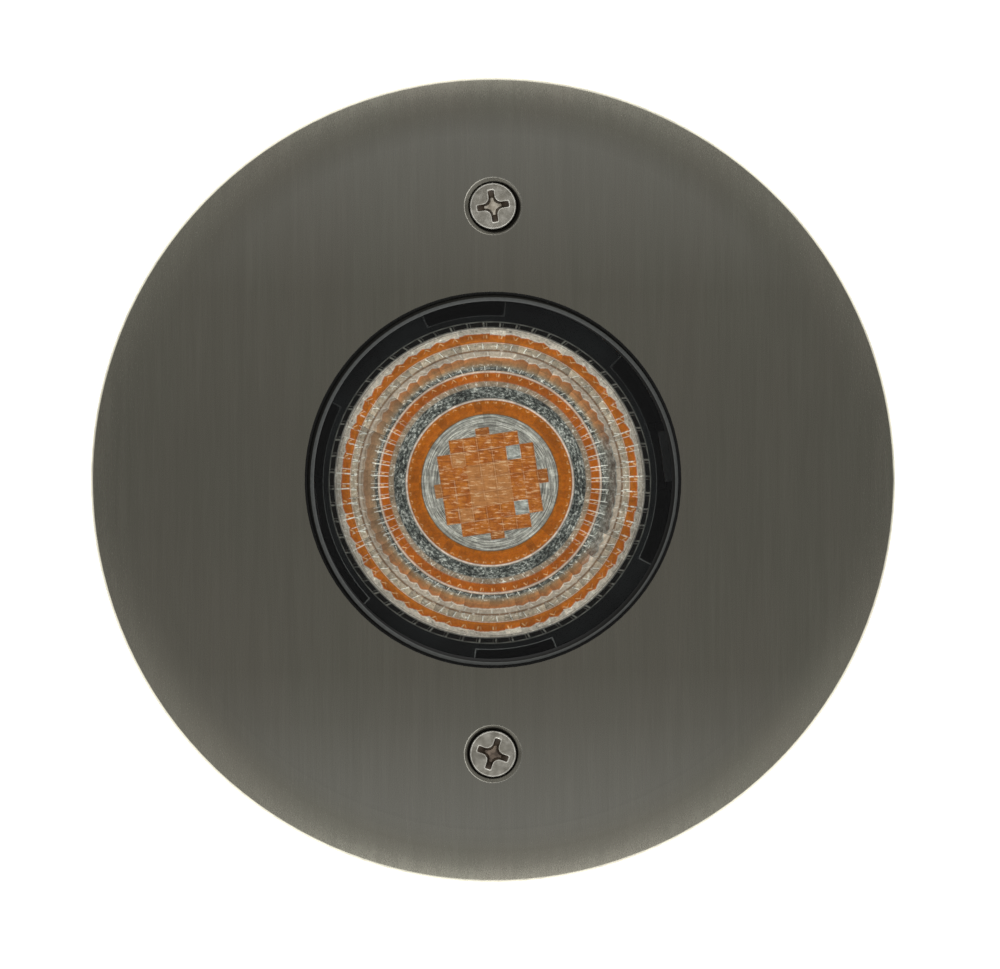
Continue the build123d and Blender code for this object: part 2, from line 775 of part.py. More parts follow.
# Lens ring: a bayonet ring with a lip over the optic, four notches and three lug slots
lip_radius = optic_flange_radius - ring_lip_overlap
skirt_end = ring_top - ring_skirt_depth
slot_angle = lug_angle + 2 * lug_side_gap
slot_inner = ring_bore_radius - ring_skirt_wall
slot_outer = notch_radius + ring_skirt_wall
with BuildPart() as lens_ring:
    with BuildSketch(module_section):
        with BuildLine():
            Polyline(
                (lip_radius, optic_top),
                (lip_radius, ring_top - ring_lip_chamfer),
                (lip_radius + ring_lip_chamfer, ring_top),
                (lens_ring_radius, ring_top),
                (lens_ring_radius, ring_top - ring_wing_thickness),
                (notch_radius, ring_top - ring_wing_thickness),
                (notch_radius, skirt_end),
                (ring_bore_radius, skirt_end),
                (ring_bore_radius, optic_top),
                close=True,
            )
        make_face()
    revolve(axis=module_axis)
    rim_edges = lens_ring.edges().filter_by(GeomType.CIRCLE).group_by(SortBy.RADIUS)[-1]
    fillet(rim_edges, ring_wing_thickness / 5)
    for number, width in enumerate([wide_notch_angle, narrow_notch_angle] * 2):
        with BuildSketch(module_plane.offset(ring_top)):
            add(ring_sector(notch_radius, lens_ring_radius + notch_corner, number * 90, width, notch_corner))
        extrude(amount=-ring_wing_thickness, mode=Mode.SUBTRACT)
    with BuildSketch(module_plane.offset(lug_top + lug_gap)):
        for angle in lug_angles:
            add(ring_sector(slot_inner, slot_outer, angle - twist_angle / 2, slot_angle + twist_angle))
    extrude(amount=-lug_height - 2 * lug_gap, mode=Mode.SUBTRACT)
    with BuildSketch(module_plane.offset(lug_top + lug_gap)):
        for angle in lug_angles:
            add(ring_sector(slot_inner, slot_outer, angle - twist_angle, slot_angle))
    extrude(amount=skirt_end - lug_top - lug_gap, mode=Mode.SUBTRACT)
finish(lens_ring, "lens_ring")

# LED leads: from the board, down a hole in the heat sink and between two fins to the plug
with BuildPart() as led_leads:
    for side in (-1, 1):
        with BuildLine(pivot_plane.offset(side * wire_offset)) as lead_route:
            FilletPolyline(
                (board_side / 2 - 1, board_top + wire_radius),
                (wire_hole_offset, board_top + wire_radius),
                (wire_hole_offset, sink_under - wire_bend),
                (0, plug_top + wire_bend),
                (0, plug_top),
                radius=wire_radius * 2,
            )
        with BuildSketch(Plane(origin=lead_route.line @ 0, z_dir=lead_route.line % 0)):
            Circle(wire_radius)
        sweep(path=lead_route.line)
finish(led_leads, "led_leads")

with BuildPart() as lead_plug:
    with BuildSketch(module_plane.offset(plug_top)):
        Rectangle(plug_length, plug_width)
    extrude(amount=-plug_height)
finish(lead_plug, "lead_plug")

# Socket under the plug, and its leads to the driver
with BuildPart() as lead_socket:
    with BuildSketch(module_plane.offset(socket_top)):
        Rectangle(plug_length + 2 * socket_wall, plug_width + 2 * socket_wall)
    extrude(amount=-plug_height)
finish(lead_socket, "lead_socket")

driver_top = floor_top + post_height - driver_ear_thickness + driver_height
driver_face_y = driver_y + driver_width / 2
with BuildPart() as output_leads:
    for side in (-1, 1):
        lead_plane = Plane(origin=(side * wire_offset, 0, 0), x_dir=(0, 1, 0), z_dir=(1, 0, 0))
        with BuildLine(lead_plane) as lead_route:
            FilletPolyline(
                (module_shift_y, socket_top - plug_height),
                (module_shift_y, driver_top - driver_lead_drop),
                (driver_face_y, driver_top - driver_lead_drop),
                radius=wire_bend,
            )
        with BuildSketch(Plane(origin=lead_route.line @ 0, z_dir=lead_route.line % 0)):
            Circle(wire_radius)
        sweep(path=lead_route.line)
finish(output_leads, "output_leads")

# Driver case: a potted box, held by its two ears
ear_level = floor_top + post_height
with BuildPart() as driver_case:
    with BuildSketch(Plane.XY.offset(driver_top)):
        with Locations((driver_x, driver_y)):
            RectangleRounded(driver_length, driver_width, driver_corner)
    extrude(amount=-driver_height)
    with BuildSketch(Plane.XY.offset(ear_level)):
        with Locations((driver_x, driver_y)):
            SlotOverall(driver_length + 2 * driver_ear, 2 * post_radius)
        with Locations(*post_spots):
            Circle(post_screw_radius, mode=Mode.SUBTRACT)
    extrude(amount=driver_ear_thickness)
finish(driver_case, "driver_case")

with BuildPart() as driver_screws:
    with BuildSketch(Plane.XY.offset(ear_level + driver_ear_thickness)):
        with Locations(*post_spots):
            Circle(post_screw_radius + small_head_width)
    extrude(amount=small_head_height)
    with BuildSketch(Plane.XY.offset(ear_level + driver_ear_thickness)):
        with Locations(*post_spots):
            Circle(post_screw_radius)
    extrude(amount=-driver_ear_thickness - post_height)
finish(driver_screws, "driver_screws")

# Terminal block, on the floor, with two clamp screws
terminal_top = floor_top + terminal_height
terminal_spots = [(terminal_x + side * terminal_pitch / 2, terminal_y) for side in (-1, 1)]
terminal_face = Plane(
    origin=(terminal_x, terminal_y - terminal_width / 2, floor_top + terminal_hole_height),
    x_dir=(1, 0, 0),
    z_dir=(0, -1, 0),
)
with BuildPart() as terminal_block:
    with BuildSketch(Plane.XY.offset(floor_top)):
        with Locations((terminal_x, terminal_y)):
            Rectangle(terminal_length, terminal_width)
    extrude(amount=terminal_height)
    with BuildSketch(Plane.XY.offset(terminal_top)):
        with Locations(*terminal_spots):
            Circle(terminal_screw_radius)
    extrude(amount=-terminal_screw_sink - terminal_screw_length, mode=Mode.SUBTRACT)
    with BuildSketch(terminal_face):
        with GridLocations(terminal_pitch, 1, 2, 1):
            Circle(terminal_hole_radius)
    extrude(amount=-terminal_width, mode=Mode.SUBTRACT)
finish(terminal_block, "terminal_block")

with BuildPart() as terminal_screws:
    with BuildSketch(Plane.XY.offset(terminal_top - terminal_screw_sink)):
        with Locations(*terminal_spots):
            Circle(terminal_screw_radius)
    extrude(amount=-terminal_screw_length)
finish(terminal_screws, "terminal_screws")

# Input leads: from the terminal block to the driver
lead_level = floor_top + terminal_hole_height
input_rise = driver_top - driver_height / 2 - lead_level
input_gap = terminal_y - terminal_width / 2 - driver_face_y
with BuildPart() as input_leads:
    for spot_x, spot_y in terminal_spots:
        lead_plane = Plane(origin=(spot_x, driver_face_y, lead_level), x_dir=(0, 1, 0), z_dir=(1, 0, 0))
        with BuildLine(lead_plane) as lead_route:
            FilletPolyline(
                (input_gap + terminal_width / 2, 0),
                (input_gap * 2 / 3, 0),
                (input_gap / 3, input_rise),
                (0, input_rise),
                radius=wire_bend / 2,
            )
        with BuildSketch(Plane(origin=lead_route.line @ 0, z_dir=lead_route.line % 0)):
            Circle(wire_radius)
        sweep(path=lead_route.line)
finish(input_leads, "input_leads")

# Cable gland, from the inside of the flat outwards: lock nut, body, O-ring, seal and dome nut
hex_start = gland_flat + gland_o_ring_thickness
sleeve_start = hex_start + gland_hex_thickness
sleeve_end = sleeve_start + gland_sleeve_length
seal_start = sleeve_start + gland_seal_inset
with BuildPart() as gland_body:
    with BuildSketch(gland_plane.offset(hex_start)):
        RegularPolygon(gland_hex / 2, 6, major_radius=False)
    extrude(amount=gland_hex_thickness)
    with BuildSketch(gland_plane.offset(hex_start)):
        Circle(gland_thread_radius)
    extrude(amount=inner_flat - lock_nut_thickness - 1 - hex_start)
    with BuildSketch(gland_plane.offset(sleeve_start)):
        Circle(gland_sleeve_radius)
    extrude(amount=gland_sleeve_length)
    with BuildSketch(gland_plane.offset(inner_flat - lock_nut_thickness - 1)):
        Circle(gland_bore_radius)
    extrude(amount=sleeve_end - inner_flat + lock_nut_thickness + 1, mode=Mode.SUBTRACT)
    with BuildSketch(gland_plane.offset(seal_start)):
        Circle(gland_sleeve_radius - gland_sleeve_wall)
    extrude(amount=sleeve_end - seal_start, mode=Mode.SUBTRACT)
finish(gland_body, "gland_body")

with BuildPart() as gland_o_ring:
    with BuildSketch(gland_plane.offset(gland_flat)):
        Circle(gland_o_ring_radius)
        Circle(gland_thread_radius, mode=Mode.SUBTRACT)
    extrude(amount=gland_o_ring_thickness)
finish(gland_o_ring, "gland_o_ring")

with BuildPart() as gland_lock_nut:
    with BuildSketch(gland_plane.offset(inner_flat)):
        RegularPolygon(lock_nut_hex / 2, 6, major_radius=False)
        Circle(gland_thread_radius, mode=Mode.SUBTRACT)
    extrude(amount=-lock_nut_thickness)
finish(gland_lock_nut, "gland_lock_nut")

with BuildPart() as gland_seal:
    with BuildSketch(gland_plane.offset(seal_start)):
        Circle(gland_sleeve_radius - gland_sleeve_wall)
        Circle(cable_radius, mode=Mode.SUBTRACT)
    extrude(amount=gland_seal_length)
finish(gland_seal, "gland_seal")

nut_start = sleeve_start + gland_nut_gap
nut_end = nut_start + gland_nut_length
with BuildPart() as gland_nut:
    with BuildSketch(gland_section):
        with BuildLine():
            Polyline(
                (nut_start, gland_sleeve_radius + running_gap),
                (nut_start, gland_nut_radius),
                (nut_end - gland_nut_lip, gland_nut_radius),
                (nut_end, gland_nut_radius - gland_nut_lip),
                (nut_end, gland_nut_mouth_radius),
                (nut_end - gland_nut_lip, gland_nut_mouth_radius),
                (nut_end - gland_nut_lip, gland_sleeve_radius + running_gap),
                close=True,
            )
        make_face()
    revolve(axis=gland_axis)
    with BuildSketch(gland_plane.offset(nut_start)):
        with PolarLocations(gland_nut_radius + gland_nut_flute_radius / 3, gland_nut_flutes):
            Circle(gland_nut_flute_radius)
    extrude(amount=gland_nut_length - gland_nut_lip, mode=Mode.SUBTRACT)
finish(gland_nut, "gland_nut")
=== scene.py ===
import json
import math

import bmesh
import bpy
from mathutils import Matrix, Vector


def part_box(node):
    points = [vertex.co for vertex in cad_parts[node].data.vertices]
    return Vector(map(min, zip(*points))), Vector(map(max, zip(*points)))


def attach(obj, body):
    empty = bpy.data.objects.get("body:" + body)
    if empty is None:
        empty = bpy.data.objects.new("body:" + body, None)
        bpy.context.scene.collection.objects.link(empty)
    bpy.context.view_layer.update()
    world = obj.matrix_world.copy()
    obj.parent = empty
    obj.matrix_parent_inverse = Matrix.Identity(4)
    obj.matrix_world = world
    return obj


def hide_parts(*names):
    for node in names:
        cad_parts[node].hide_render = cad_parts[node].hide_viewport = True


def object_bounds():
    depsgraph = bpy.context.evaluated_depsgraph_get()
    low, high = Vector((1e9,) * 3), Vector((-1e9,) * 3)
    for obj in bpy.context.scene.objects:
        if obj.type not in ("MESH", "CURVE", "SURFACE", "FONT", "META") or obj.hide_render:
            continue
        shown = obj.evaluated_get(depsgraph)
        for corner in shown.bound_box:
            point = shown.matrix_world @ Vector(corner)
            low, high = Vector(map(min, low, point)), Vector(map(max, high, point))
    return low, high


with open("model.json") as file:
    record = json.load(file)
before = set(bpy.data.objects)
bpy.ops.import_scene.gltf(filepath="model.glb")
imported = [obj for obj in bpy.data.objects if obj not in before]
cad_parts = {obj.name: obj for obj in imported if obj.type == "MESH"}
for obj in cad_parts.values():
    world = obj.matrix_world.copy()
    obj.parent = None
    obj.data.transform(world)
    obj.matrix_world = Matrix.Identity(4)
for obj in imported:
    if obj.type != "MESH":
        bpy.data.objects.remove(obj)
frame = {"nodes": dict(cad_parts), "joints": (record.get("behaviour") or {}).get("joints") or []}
cadLow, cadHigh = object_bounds()
cad = frame["nodes"]
joints = {joint["name"]: joint for joint in frame["joints"]}

mm = 0.001

# The module's own frame: its turning axis, and how far it is turned from the can
moduleCentre = Vector(joints["module_turn"]["pos_m"])
tiltAxis = Vector(joints["module_tilt"]["axis"])
moduleAngle = math.atan2(tiltAxis.y, tiltAxis.x)


# Camera and studio

cameraSet = {
    "plateRadiusPixels": 402.75,  # the plate's rim in the 1000 x 969 frame
    "plateCentrePixels": (492.98, 479.97),
    "imageSize": (1000, 969),
    "height": 2.5,
    "sensor": 36.0,
}


def placeCamera():
    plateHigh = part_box("faceplate")[1]
    plateRadius = plateHigh.x
    metresPerPixel = plateRadius / cameraSet["plateRadiusPixels"]
    width, height = cameraSet["imageSize"]
    offRight = (width / 2 - cameraSet["plateCentrePixels"][0]) * metresPerPixel
    offUp = (cameraSet["plateCentrePixels"][1] - height / 2) * metresPerPixel
    data = bpy.data.cameras.new("camera")
    data.sensor_width = cameraSet["sensor"]
    data.lens = cameraSet["sensor"] * cameraSet["height"] / (width * metresPerPixel)
    camera = bpy.data.objects.new("camera", data)
    camera.location = (offRight, offUp, cameraSet["height"] + plateHigh.z)
    bpy.context.scene.collection.objects.link(camera)
    bpy.context.scene.camera = camera


lightSet = {
    # world brightness by height of the direction, from the horizon to straight above
    "heights": [(0.0, 0.85), (0.20, 0.85), (0.40, 0.55), (0.56, 0.133), (1.0, 0.128)],
    # how much brighter the sky is towards the front and the back, by (direction's Y + 1) / 2
    "depths": [(0.0, 1.0), (0.10, 1.72), (0.34, 1.72), (0.46, 1.0), (0.54, 1.0), (0.66, 1.33), (0.90, 1.33), (1.0, 1.0)],
    "frontPower": 2.0,
    "backPower": 1.5,
    "tilt": 62.0,  # degrees from straight above
    "distance": 1.0,
    "width": 0.9,
    "depth": 0.4,
    "overheadPower": 104.0,
    "overheadSize": 3.2,
    "overheadHeight": 2.2,
}


def addSoftbox(name, azimuth, power, width, depth):
    data = bpy.data.lights.new(name, "AREA")
    data.shape = "RECTANGLE"
    data.size = width
    data.size_y = depth
    data.energy = power
    lamp = bpy.data.objects.new(name, data)
    tilt = math.radians(lightSet["tilt"])
    turn = math.radians(azimuth)
    direction = Vector((math.sin(tilt) * math.sin(turn), -math.sin(tilt) * math.cos(turn), math.cos(tilt)))
    lamp.location = direction * lightSet["distance"]
    lamp.rotation_euler = (-direction).to_track_quat("-Z", "Y").to_euler()
    bpy.context.scene.collection.objects.link(lamp)


def addOverhead():
    # A wide soft light from above that polished metal doesn't mirror
    data = bpy.data.lights.new("overhead", "AREA")
    data.shape = "SQUARE"
    data.size = lightSet["overheadSize"]
    data.energy = lightSet["overheadPower"]
    lamp = bpy.data.objects.new("overhead", data)
    lamp.location = (0, 0, lightSet["overheadHeight"])
    lamp.visible_glossy = False
    lamp.visible_transmission = False
    bpy.context.scene.collection.objects.link(lamp)


def lightStudio():
    world = bpy.data.worlds.new("studio")
    bpy.context.scene.world = world
    world.use_nodes = True
    tree = world.node_tree
    tree.nodes.clear()
    coordinates = tree.nodes.new("ShaderNodeTexCoord")
    parts = tree.nodes.new("ShaderNodeSeparateXYZ")
    ramp = tree.nodes.new("ShaderNodeValToRGB")
    share = tree.nodes.new("ShaderNodeMath")
    share.operation = "MULTIPLY_ADD"
    share.inputs[1].default_value = 0.5
    share.inputs[2].default_value = 0.5
    gain = tree.nodes.new("ShaderNodeValToRGB")
    background = tree.nodes.new("ShaderNodeBackground")
    output = tree.nodes.new("ShaderNodeOutputWorld")
    setRamp(ramp, [(at, (value, value, value)) for at, value in lightSet["heights"]])
    setRamp(gain, [(at, (value, value, value)) for at, value in lightSet["depths"]])
    tree.links.new(coordinates.outputs["Generated"], parts.inputs["Vector"])
    tree.links.new(parts.outputs["Z"], ramp.inputs["Fac"])
    tree.links.new(parts.outputs["Y"], share.inputs[0])
    tree.links.new(share.outputs[0], gain.inputs["Fac"])
    tree.links.new(ramp.outputs["Color"], background.inputs["Color"])
    tree.links.new(gain.outputs[0], background.inputs["Strength"])
    tree.links.new(background.outputs["Background"], output.inputs["Surface"])
    addSoftbox("frontSoftbox", 0, lightSet["frontPower"], lightSet["width"], lightSet["depth"])
    addSoftbox("backSoftbox", 180, lightSet["backPower"], lightSet["width"], lightSet["depth"])
    addOverhead()
    bpy.context.scene.view_settings.view_transform = "Standard"


def setRamp(ramp, stops, interpolation="LINEAR"):
    elements = ramp.color_ramp.elements
    while len(elements) > 1:
        elements.remove(elements[-1])
    elements[0].position = stops[0][0]
    elements[0].color = (*stops[0][1], 1)
    for position, colour in stops[1:]:
        element = elements.new(position)
        element.color = (*colour, 1)
    ramp.color_ramp.interpolation = interpolation


def layFloor():
    bm = bmesh.new()
    bmesh.ops.create_grid(bm, x_segments=1, y_segments=1, size=3.0)
    bmesh.ops.translate(bm, vec=(0, 0, cadLow.z - 0.05 * mm), verts=bm.verts)
    mesh = bpy.data.meshes.new("floor")
    bm.to_mesh(mesh)
    bm.free()
    floor = bpy.data.objects.new("floor", mesh)
    bpy.context.scene.collection.objects.link(floor)
    paint = Finish("studioFloor")
    paint.set("Base Color", (0.90, 0.90, 0.90))
    paint.set("Emission Color", (1.0, 1.0, 1.0))
    paint.set("Emission Strength", 0.30)
    paint.set("Roughness", 0.9)
    grain = paint.noise(40, detail=2)
    paint.bump(grain, strength=0.02, distance=0.001)
    mesh.materials.append(paint.material)


# Building materials

class Finish:
    # A material with one Principled shader, and short ways to add what drives it
    def __init__(self, name):
        self.material = bpy.data.materials.new(name)
        self.material.use_nodes = True
        self.tree = self.material.node_tree
        self.shader = self.tree.nodes["Principled BSDF"]
        self.output = self.tree.nodes["Material Output"]
        self.place = None

    def node(self, kind, **inputs):
        made = self.tree.nodes.new(kind)
        for key, value in inputs.items():
            self.feed(made.inputs[key], value)
        return made

    def feed(self, socket, value):
        if isinstance(value, bpy.types.NodeSocket):
            self.tree.links.new(value, socket)
        elif isinstance(value, tuple) and len(value) == 3 and socket.type == "RGBA":
            socket.default_value = (*value, 1)
        else:
            socket.default_value = value

    def set(self, name, value):
        self.feed(self.shader.inputs[name], value)

    def coordinates(self):
        if self.place is None:
            self.place = self.node("ShaderNodeTexCoord").outputs["Object"]
        return self.place

    def mapped(self, location=(0, 0, 0), rotation=(0, 0, 0), scale=(1, 1, 1), kind="TEXTURE"):
        mapping = self.node("ShaderNodeMapping", Vector=self.coordinates(), Location=location,
                            Rotation=rotation, Scale=scale)
        mapping.vector_type = kind
        return mapping.outputs["Vector"]

    def noise(self, scale, detail=3.0, roughness=0.5, vector=None, output="Fac"):
        made = self.node("ShaderNodeTexNoise", Vector=vector or self.coordinates(), Scale=scale,
                         Detail=detail, Roughness=roughness)
        return made.outputs[output]

    def ramp(self, fac, stops, interpolation="LINEAR"):
        made = self.node("ShaderNodeValToRGB", Fac=fac)
        setRamp(made, stops, interpolation)
        return made.outputs["Color"]

    def math(self, operation, a, b=0.0, c=0.0, clamp=False):
        made = self.tree.nodes.new("ShaderNodeMath")
        made.operation = operation
        made.use_clamp = clamp
        for socket, value in zip(made.inputs, (a, b, c)):
            self.feed(socket, value)
        return made.outputs[0]

    def mix(self, fac, a, b, blend="MIX"):
        made = self.tree.nodes.new("ShaderNodeMix")
        made.data_type = "RGBA"
        made.blend_type = blend
        self.feed(made.inputs[0], fac)
        self.feed(made.inputs[6], a)
        self.feed(made.inputs[7], b)
        return made.outputs[2]

    def span(self, value, low, high, toLow, toHigh):
        made = self.node("ShaderNodeMapRange")
        for socket, item in zip(made.inputs, (value, low, high, toLow, toHigh)):
            self.feed(socket, item)
        return made.outputs[0]

    def window(self, value, low, high, soft):
        # 1 between low and high, 0 outside, with soft ends
        rise = self.span(value, low - soft, low + soft, 0.0, 1.0)
        fall = self.span(value, high - soft, high + soft, 1.0, 0.0)
        return self.math("MULTIPLY", rise, fall)

    def line(self, value, centre, halfWidth):
        # 1 on a thin line where value is near centre
        away = self.math("ABSOLUTE", self.math("SUBTRACT", value, centre))
        return self.span(away, halfWidth * 0.45, halfWidth, 1.0, 0.0)

    def product(self, *values):
        result = values[0]
        for value in values[1:]:
            result = self.math("MULTIPLY", result, value)
        return result

    def polar(self, centre, turn=0.0):
        # Millimetres from a centre, and the radius and angle about it
        local = self.mapped(location=(centre.x, centre.y, 0), rotation=(0, 0, turn), scale=(mm, mm, mm))
        parts = self.node("ShaderNodeSeparateXYZ", Vector=local)
        x, y = parts.outputs["X"], parts.outputs["Y"]
        radius = self.math("SQRT", self.math("ADD", self.math("MULTIPLY", x, x), self.math("MULTIPLY", y, y)))
        return local, x, y, radius, self.math("ARCTAN2", y, x)

    def bump(self, height, strength=0.3, distance=0.0002):
        made = self.node("ShaderNodeBump", Height=height, Strength=strength, Distance=distance)
        self.set("Normal", made.outputs["Normal"])
        return made


plateFinish = {
    "light": (0.595, 0.575, 0.472),
    "dark": (0.562, 0.542, 0.440),
    "warm": (0.592, 0.552, 0.456),
    "grainWidth": 0.20 * mm,
    "grainLength": 9.0 * mm,
    "roughness": 0.27,
    # painted shade in the gap round the screw heads, and on the countersinks' cones
    "screwGapShade": (0.012, 0.011, 0.009),
    "cone": (0.185, 0.178, 0.150),
    "mouthRadius": 4.575,
    "headRadius": 3.72,
}


def makeBrushedStainless():
    # Long fine scratches along Y over slow cloudy changes of tone, with painted light and shade: lighter towards the
    # top and bottom, painted shade in the countersinks round the screws and a painted highlight on their mouths
    paint = Finish("brushedStainless")
    width, length = plateFinish["grainWidth"], plateFinish["grainLength"]
    fine = paint.noise(1.0, 4.0, 0.7, paint.mapped(scale=(width, length, width)))
    broad = paint.noise(1.0, 2.0, 0.5, paint.mapped(scale=(width * 6, length * 2.5, width * 6)))
    cloud = paint.noise(1.0, 2.0, 0.5, paint.mapped(scale=(9 * mm, 26 * mm, 9 * mm)))
    streaks = paint.math("ADD", paint.math("MULTIPLY", fine, 0.6), paint.math("MULTIPLY", broad, 0.4))
    tone = paint.ramp(streaks, [(0.30, plateFinish["dark"]), (0.70, plateFinish["light"])])
    tone = paint.mix(paint.span(cloud, 0.35, 0.65, 0.0, 0.6), tone, plateFinish["warm"])
    parts = paint.node("ShaderNodeSeparateXYZ", Vector=paint.coordinates())
    x, y = parts.outputs["X"], parts.outputs["Y"]
    # painted shade: the middle of the plate is a little darker than its top and bottom
    tone = paint.mix(paint.span(paint.math("ABSOLUTE", y), 8 * mm, 42 * mm, 0.24, 0.0), tone, (0.30, 0.29, 0.235))
    fromCentre = paint.math("SQRT", paint.math("ADD", paint.product(x, x), paint.product(y, y)))
    flat = paint.span(fromCentre, 54.5 * mm, 58.5 * mm, 1.0, 0.1)
    # painted light: the plate's flat part is lighter towards its top and bottom, most towards the bottom
    paintedSheen = paint.product(paint.span(paint.math("ABSOLUTE", y), 30 * mm, 54 * mm, 0.0, 0.85), flat)
    tone = paint.mix(paintedSheen, tone, (0.86, 0.84, 0.73))
    paintedSheen = paint.product(paint.span(y, -38 * mm, -56 * mm, 0.0, 0.45), flat)
    tone = paint.mix(paintedSheen, tone, (1.0, 0.98, 0.86))
    # painted shade: the countersink's cone darker, and a near-black ring in the gap round each screw head, thicker on
    # one side
    aside = paint.math("SUBTRACT", x, 0.05 * mm)
    along = paint.math("SUBTRACT", paint.math("ABSOLUTE", y), screwSet["offset"] * mm)
    spot = paint.math("SQRT", paint.math("ADD", paint.product(aside, aside), paint.product(along, along)))
    side = paint.span(y, -1 * mm, 1 * mm, -0.026, 0.050)
    crescent = paint.math("SUBTRACT", paint.product(x, side), paint.product(along, 0.036))
    cone = paint.span(spot, (plateFinish["mouthRadius"] - 0.09) * mm, (plateFinish["mouthRadius"] - 0.01) * mm, 1.0, 0.0)
    tone = paint.mix(cone, tone, plateFinish["cone"])
    screwGapShade = paint.window(paint.math("SUBTRACT", spot, crescent), plateFinish["headRadius"] * mm - 0.6 * mm,
                         4.08 * mm, 0.10 * mm)
    tone = paint.mix(screwGapShade, tone, plateFinish["screwGapShade"])
    # painted highlight: a pale line along each countersink's mouth
    mouth = paint.line(spot, (plateFinish["mouthRadius"] + 0.02) * mm, 0.12 * mm)
    tone = paint.mix(paint.product(mouth, 0.22), tone, (0.95, 0.93, 0.86))
    paint.set("Base Color", tone)
    paint.set("Metallic", 1.0)
    paint.set("Roughness", paint.span(streaks, 0.3, 0.7, plateFinish["roughness"] - 0.03,
                                      plateFinish["roughness"] + 0.03))
    paint.bump(streaks, strength=0.08, distance=0.00002)
    return paint.material


def makeScrewSteel(name="screwSteel", low=(0.50, 0.48, 0.41), high=(0.72, 0.70, 0.61), metallic=0.8):
    paint = Finish(name)
    wear = paint.noise(900, 3.0)
    blotch = paint.noise(380, 2.0)
    tone = paint.ramp(wear, [(0.35, low), (0.7, high)])
    paint.set("Base Color", paint.mix(paint.span(blotch, 0.46, 0.66, 0.0, 0.5), tone, tuple(channel * 0.62 for channel in low)))
    paint.set("Metallic", metallic)
    paint.set("Roughness", paint.span(wear, 0.3, 0.7, 0.36, 0.5))
    paint.bump(wear, strength=0.15, distance=0.00002)
    return paint.material


def makeWindowGlass():
    # Polished glass that lets lamp light through to the optic
    paint = Finish("windowGlass")
    paint.set("Base Color", (0.97, 0.99, 0.985))
    paint.set("Roughness", 0.0)
    paint.set("IOR", 1.42)
    paint.set("Transmission Weight", 1.0)
    clear = paint.node("ShaderNodeBsdfTransparent", Color=(0.93, 0.95, 0.94))
    rays = paint.node("ShaderNodeLightPath")
    both = paint.node("ShaderNodeMixShader")
    paint.feed(both.inputs[0], rays.outputs["Is Shadow Ray"])
    paint.feed(both.inputs[1], paint.shader.outputs["BSDF"])
    paint.feed(both.inputs[2], clear.outputs["BSDF"])
    paint.feed(paint.output.inputs["Surface"], both.outputs["Shader"])
    return paint.material


def makeGroundGlass():
    # The bevel round the window: fine-ground, with a faint radial grind, painted grey only on an off-centre band as a
    # highlight on near-black painted shade
    paint = Finish("groundGlass")
    _, x, y, radius, angle = paint.polar(Vector((0, 0, 0)))
    grind = paint.noise(1.0, 2.0, 0.6, paint.node("ShaderNodeCombineXYZ", X=paint.math("MULTIPLY", angle, 40.0),
                                                  Y=paint.math("MULTIPLY", radius, 3.0)).outputs["Vector"])
    grey = paint.ramp(grind, [(0.3, (0.036, 0.038, 0.037)), (0.7, (0.050, 0.052, 0.050))])
    # painted light and shade: an off-centre grey band with a lighter painted highlight line, near-black either side
    offX = paint.math("SUBTRACT", x, 0.25)
    offY = paint.math("ADD", y, 0.25)
    away = paint.math("SQRT", paint.math("ADD", paint.product(offX, offX), paint.product(offY, offY)))
    band = paint.window(away, 28.50, 29.06, 0.03)
    tone = paint.mix(band, (0.0030, 0.0030, 0.0028), grey)
    paint.set("Base Color", paint.mix(paint.product(paint.line(away, 28.56, 0.10), 0.3), tone, (0.085, 0.087, 0.084)))
    paint.set("Roughness", 0.42)
    paint.set("Specular IOR Level", 0.25)
    paint.bump(grind, strength=0.1, distance=0.00002)
    return paint.material


def makePlastic(name, colour, roughness, grainScale, grainDepth, variation=0.25, coat=0.0):
    # Moulded plastic: a fine spark-eroded grain, and slow changes of gloss
    paint = Finish(name)
    grain = paint.noise(grainScale, 2.0)
    slow = paint.noise(45, 2.0)
    lighter = tuple(min(1.0, channel * (1 + variation)) for channel in colour)
    darker = tuple(channel * (1 - variation) for channel in colour)
    paint.set("Base Color", paint.ramp(slow, [(0.35, darker), (0.65, lighter)]))
    paint.set("Roughness", paint.span(slow, 0.3, 0.7, roughness - 0.05, roughness + 0.05))
    paint.set("Coat Weight", coat)
    paint.set("Coat Roughness", 0.04)
    paint.bump(grain, strength=0.35, distance=grainDepth)
    return paint.material


def makeMetal(name, colour, roughness, scale=(0.4 * mm, 0.4 * mm, 4 * mm)):
    paint = Finish(name)
    turning = paint.noise(1.0, 3.0, 0.6, paint.mapped(scale=scale))
    lighter = tuple(min(1.0, channel * 1.12) for channel in colour)
    darker = tuple(channel * 0.82 for channel in colour)
    paint.set("Base Color", paint.ramp(turning, [(0.35, darker), (0.65, lighter)]))
    paint.set("Metallic", 1.0)
    paint.set("Roughness", paint.span(turning, 0.3, 0.7, roughness - 0.06, roughness + 0.06))
    paint.bump(turning, strength=0.2, distance=0.00003)
    return paint.material


def makePhosphor():
    paint = Finish("phosphor")
    grain = paint.noise(1400, 2.0)
    paint.set("Base Color", paint.ramp(grain, [(0.35, (0.72, 0.26, 0.02)), (0.7, (0.90, 0.42, 0.06))]))
    paint.set("Roughness", 0.3)
    paint.set("Subsurface Weight", 0.2)
    paint.set("Subsurface Radius", (0.001, 0.0005, 0.0002))
    paint.set("Coat Weight", 0.6)
    paint.bump(grain, strength=0.2, distance=0.00003)
    return paint.material


# Modelling helpers

